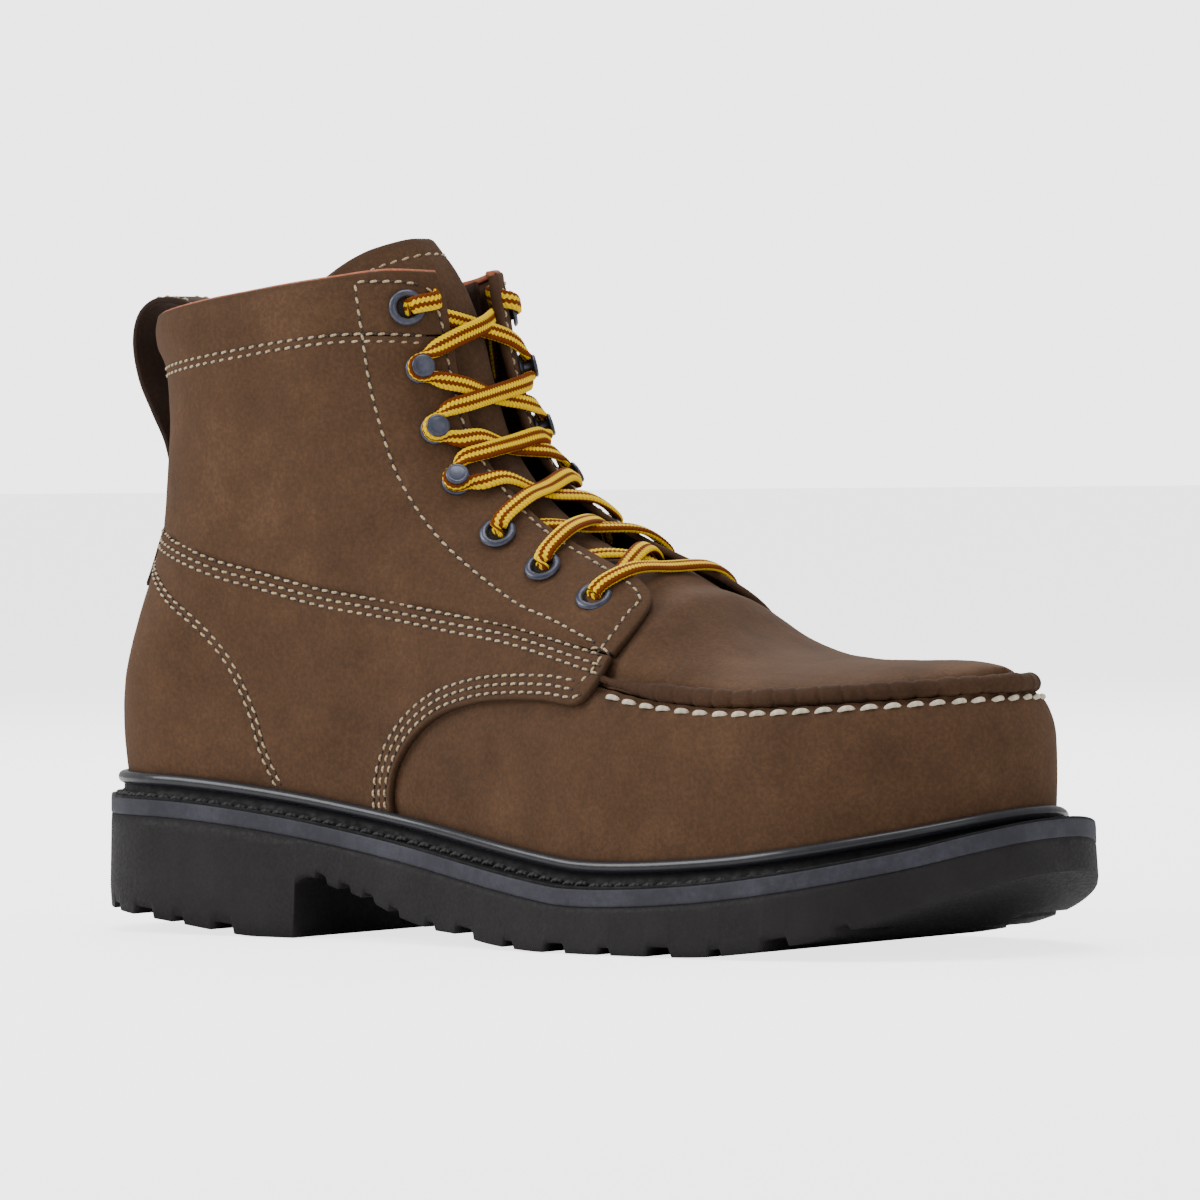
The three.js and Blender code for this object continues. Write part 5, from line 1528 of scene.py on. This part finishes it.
def rubber(name, colour, dust, dusting, scale, bump, coat=0.0, deep=None):
    material, w, shader = newMaterial(name, **{"Coat Weight": coat, "Coat Roughness": 0.22,
                                               "Specular IOR Level": 0.25})
    g = w.node("Group", node_tree=groups["rubber"])
    g.inputs["Colour"].default_value, g.inputs["Dust"].default_value = colour, dust
    g.inputs["Dusting"].default_value, g.inputs["Scale"].default_value = dusting, scale
    colour = g.outputs["Colour"]
    # deep is the colour of painted shade, laid where the mesh's deep mask is set; the coat is taken off there too
    if deep:
        low = w.node("Attribute", attribute_name="deep").outputs["Fac"]
        colour = w.mix(low, colour, deep)
        w.feed(shader.inputs["Coat Weight"], w.band(low, 0.0, 1.0, coat, 0.0))
    w.feed(shader.inputs["Base Color"], colour)
    w.feed(shader.inputs["Roughness"], g.outputs["Roughness"])
    bumped(w, shader, g.outputs["Height"], bump, 0.0002)
    return material


def sewingThread(name, colour, shade, turns, bump=0.5):
    material, w, shader = newMaterial(name, **{"Roughness": 0.62, "Sheen Weight": 0.1})
    g = w.node("Group", node_tree=groups["thread"])
    g.inputs["Colour"].default_value, g.inputs["Shade"].default_value = colour, shade
    g.inputs["Turns"].default_value = turns
    w.feed(shader.inputs["Base Color"], g.outputs["Colour"])
    bumped(w, shader, g.outputs["Height"], bump, 0.0002)
    return material


# dark is the painted shade laid between the braid's strands
laceLook = dict(yellow=srgb(255, 210, 0), brown=srgb(118, 54, 4), dark=srgb(70, 38, 6), zigzag=0.1, pitch=1.25)


def laceMaterial():
    material, w, shader = newMaterial("bootLace", **{"Roughness": 0.8, "Specular IOR Level": 0.12})
    acrossMark = w.node("Attribute", attribute_name="across").outputs["Fac"]
    run = w.node("Attribute", attribute_name="run").outputs["Fac"]
    up = w.node("Attribute", attribute_name="up").outputs["Fac"]
    side = w.math("SIGN", up)
    turns = w.math("DIVIDE", run, laceLook["pitch"])
    zig = w.math("PINGPONG", turns, 0.5)
    zig = w.math("MULTIPLY", w.math("SUBTRACT", zig, 0.25), laceLook["zigzag"] * 4)
    mark = w.math("ADD", w.math("MULTIPLY", acrossMark, side), zig)
    # four bands across: yellow, brown, yellow, brown
    outerBand = w.math("GREATER_THAN", mark, 0.52)
    middleBand = w.math("MULTIPLY", w.math("GREATER_THAN", mark, -0.48), w.math("LESS_THAN", mark, 0.02))
    brown = w.math("MAXIMUM", outerBand, middleBand)
    colour = w.mix(brown, laceLook["yellow"], laceLook["brown"])
    # painted shade: the lines between the braid's strands are darkened towards the dark colour
    weave = w.math("ABSOLUTE", w.math("SINE", w.math("MULTIPLY", w.math("ADD", turns, w.math("MULTIPLY", w.math("ABSOLUTE", acrossMark), 1.4)), 3.1416)))
    colour = w.mix(w.band(weave, 0.0, 0.5, 0.45, 0.0), colour, laceLook["dark"])
    w.feed(shader.inputs["Base Color"], colour)
    place = w.node("TexCoord").outputs["Object"]
    bumped(w, shader, w.math("MULTIPLY_ADD", w.noise(place, 2600.0), 0.5, weave), 0.5, 0.0003)
    return material


def metalMaterial():
    material, w, shader = newMaterial("gunmetal", **{"Coat Weight": 0.25, "Coat Roughness": 0.25})
    place = w.node("TexCoord").outputs["Object"]
    cloud = w.noise(place, 260.0, 4.0, 0.6)
    fine = w.noise(place, 1800.0, 3.0, 0.7)
    w.feed(shader.inputs["Base Color"], w.mix(w.band(cloud, 0.35, 0.65), srgb(60, 62, 76), srgb(82, 85, 100)))
    w.feed(shader.inputs["Roughness"], w.band(fine, 0.3, 0.7, 0.3, 0.5))
    w.feed(shader.inputs["Metallic"], w.band(cloud, 0.2, 0.8, 0.62, 0.8))
    bumped(w, shader, fine, 0.12, 0.0001)
    return material


def plainNoise(name, colour, other, roughness, scale, bump, metallic=0.0):
    material, w, shader = newMaterial(name, **{"Roughness": roughness, "Metallic": metallic})
    place = w.node("TexCoord").outputs["Object"]
    cloud = w.noise(place, scale, 5.0, 0.6)
    w.feed(shader.inputs["Base Color"], w.mix(w.band(cloud, 0.35, 0.65), colour, other))
    bumped(w, shader, w.noise(place, scale * 4, 4.0, 0.7), bump, 0.0003)
    return material


print("materials")
materials = {
    "nubuck": brushedLeather("nubuck", **nubuck),
    "lip": brushedLeather("lipLeather", srgb(71, 49, 34), srgb(92, 66, 46), srgb(46, 30, 20), 0.6, 0.5),
    "strap": brushedLeather("strapSuede", srgb(58, 41, 32), srgb(88, 63, 48), srgb(34, 24, 18), 0.6, 0.7, 0.2),
    "tongue": brushedLeather("tongueLeather", srgb(78, 56, 39), srgb(102, 74, 52), srgb(50, 34, 24), 0.6, 0.5),
    "lining": brushedLeather("liningLeather", srgb(58, 40, 30), srgb(78, 55, 42), srgb(36, 25, 19), 0.6, 0.4),
    "rim": brushedLeather("liningEdge", srgb(176, 106, 78), srgb(200, 132, 102), srgb(128, 70, 48), 0.6, 0.35),
    "tread": rubber("lugRubber", srgb(28, 25, 25), srgb(46, 43, 44), 0.5, 900.0, 0.5),
    "band": rubber("buffedBand", srgb(48, 48, 55), srgb(78, 78, 87), 0.7, 500.0, 0.6),
    # the welt's neck, groove and ledge take painted shade, srgb(8, 8, 10)
    "welt": rubber("weltRubber", srgb(24, 24, 31), srgb(40, 41, 51), 0.25, 300.0, 0.12, 0.7, srgb(8, 8, 10)),
    "thread": sewingThread("panelThread", srgb(206, 184, 146), srgb(128, 102, 72), 1.3),
    "needle": sewingThread("needleHole", srgb(48, 34, 24), srgb(26, 17, 12), 1.3),
    "mocThread": sewingThread("mocThread", srgb(222, 212, 190), srgb(168, 152, 124), 0.55, 0.7),
    "weltThread": sewingThread("weltThread", srgb(22, 22, 26), srgb(8, 8, 10), 0.8, 0.8),
    "lace": laceMaterial(),
    "metal": metalMaterial(),
    # painted shade: the dark colour of the eyelets' wells
    "well": plainNoise("eyeletWell", srgb(34, 26, 22), srgb(18, 13, 11), 0.9, 400.0, 0.3),
    "tip": plainNoise("laceTip", srgb(46, 30, 18), srgb(70, 46, 26), 0.35, 300.0, 0.1),
    "steel": plainNoise("steel", srgb(150, 152, 156), srgb(110, 112, 116), 0.4, 200.0, 0.1, 0.9),
    "board": plainNoise("fibreBoard", srgb(176, 148, 108), srgb(146, 118, 82), 0.9, 300.0, 0.4),
    "foam": plainNoise("foam", srgb(52, 54, 60), srgb(36, 38, 42), 0.95, 700.0, 0.6),
}


def dress(material, *objects):
    for obj in objects:
        obj.data.materials.clear()
        obj.data.materials.append(materials[material])


dress("nubuck", quarters, shaft, collarBand, vampWall, plug)
dress("lip", mocLipPiece)
dress("thread", *threads, tongueThread, strapThread)
dress("needle", *needles)
dress("mocThread", mocThreadPiece)
dress("tread", outsole)
dress("band", midsole)
dress("welt", weltPiece)
dress("weltThread", weltThread)
dress("lace", laceObj)
dress("tip", *tipPieces)
dress("metal", *metalPieces)
dress("well", *wellPieces)
dress("tongue", tonguePiece)
dress("strap", strapPiece)
dress("lining", liningPiece)
dress("rim", rimPiece)
dress("foam", footbed)
for node, material in {"lining_vamp": "lining", "toe_cap": "steel", "shank": "steel", "heel_stiffener": "board",
                       "insole_board": "board", "bottom_filler": "foam"}.items():
    dress(material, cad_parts[node])

floorLook, w, shader = newMaterial("floor", **{"Roughness": 0.9, "Specular IOR Level": 0.1})
shader.inputs["Base Color"].default_value = (0.97, 0.97, 0.97, 1)
shader.inputs["Emission Color"].default_value = (1, 1, 1, 1)
w.feed(shader.inputs["Emission Strength"],
       w.math("MULTIPLY", w.node("LightPath").outputs["Is Camera Ray"], light["floor"]))
floor.data.materials.append(floorLook)
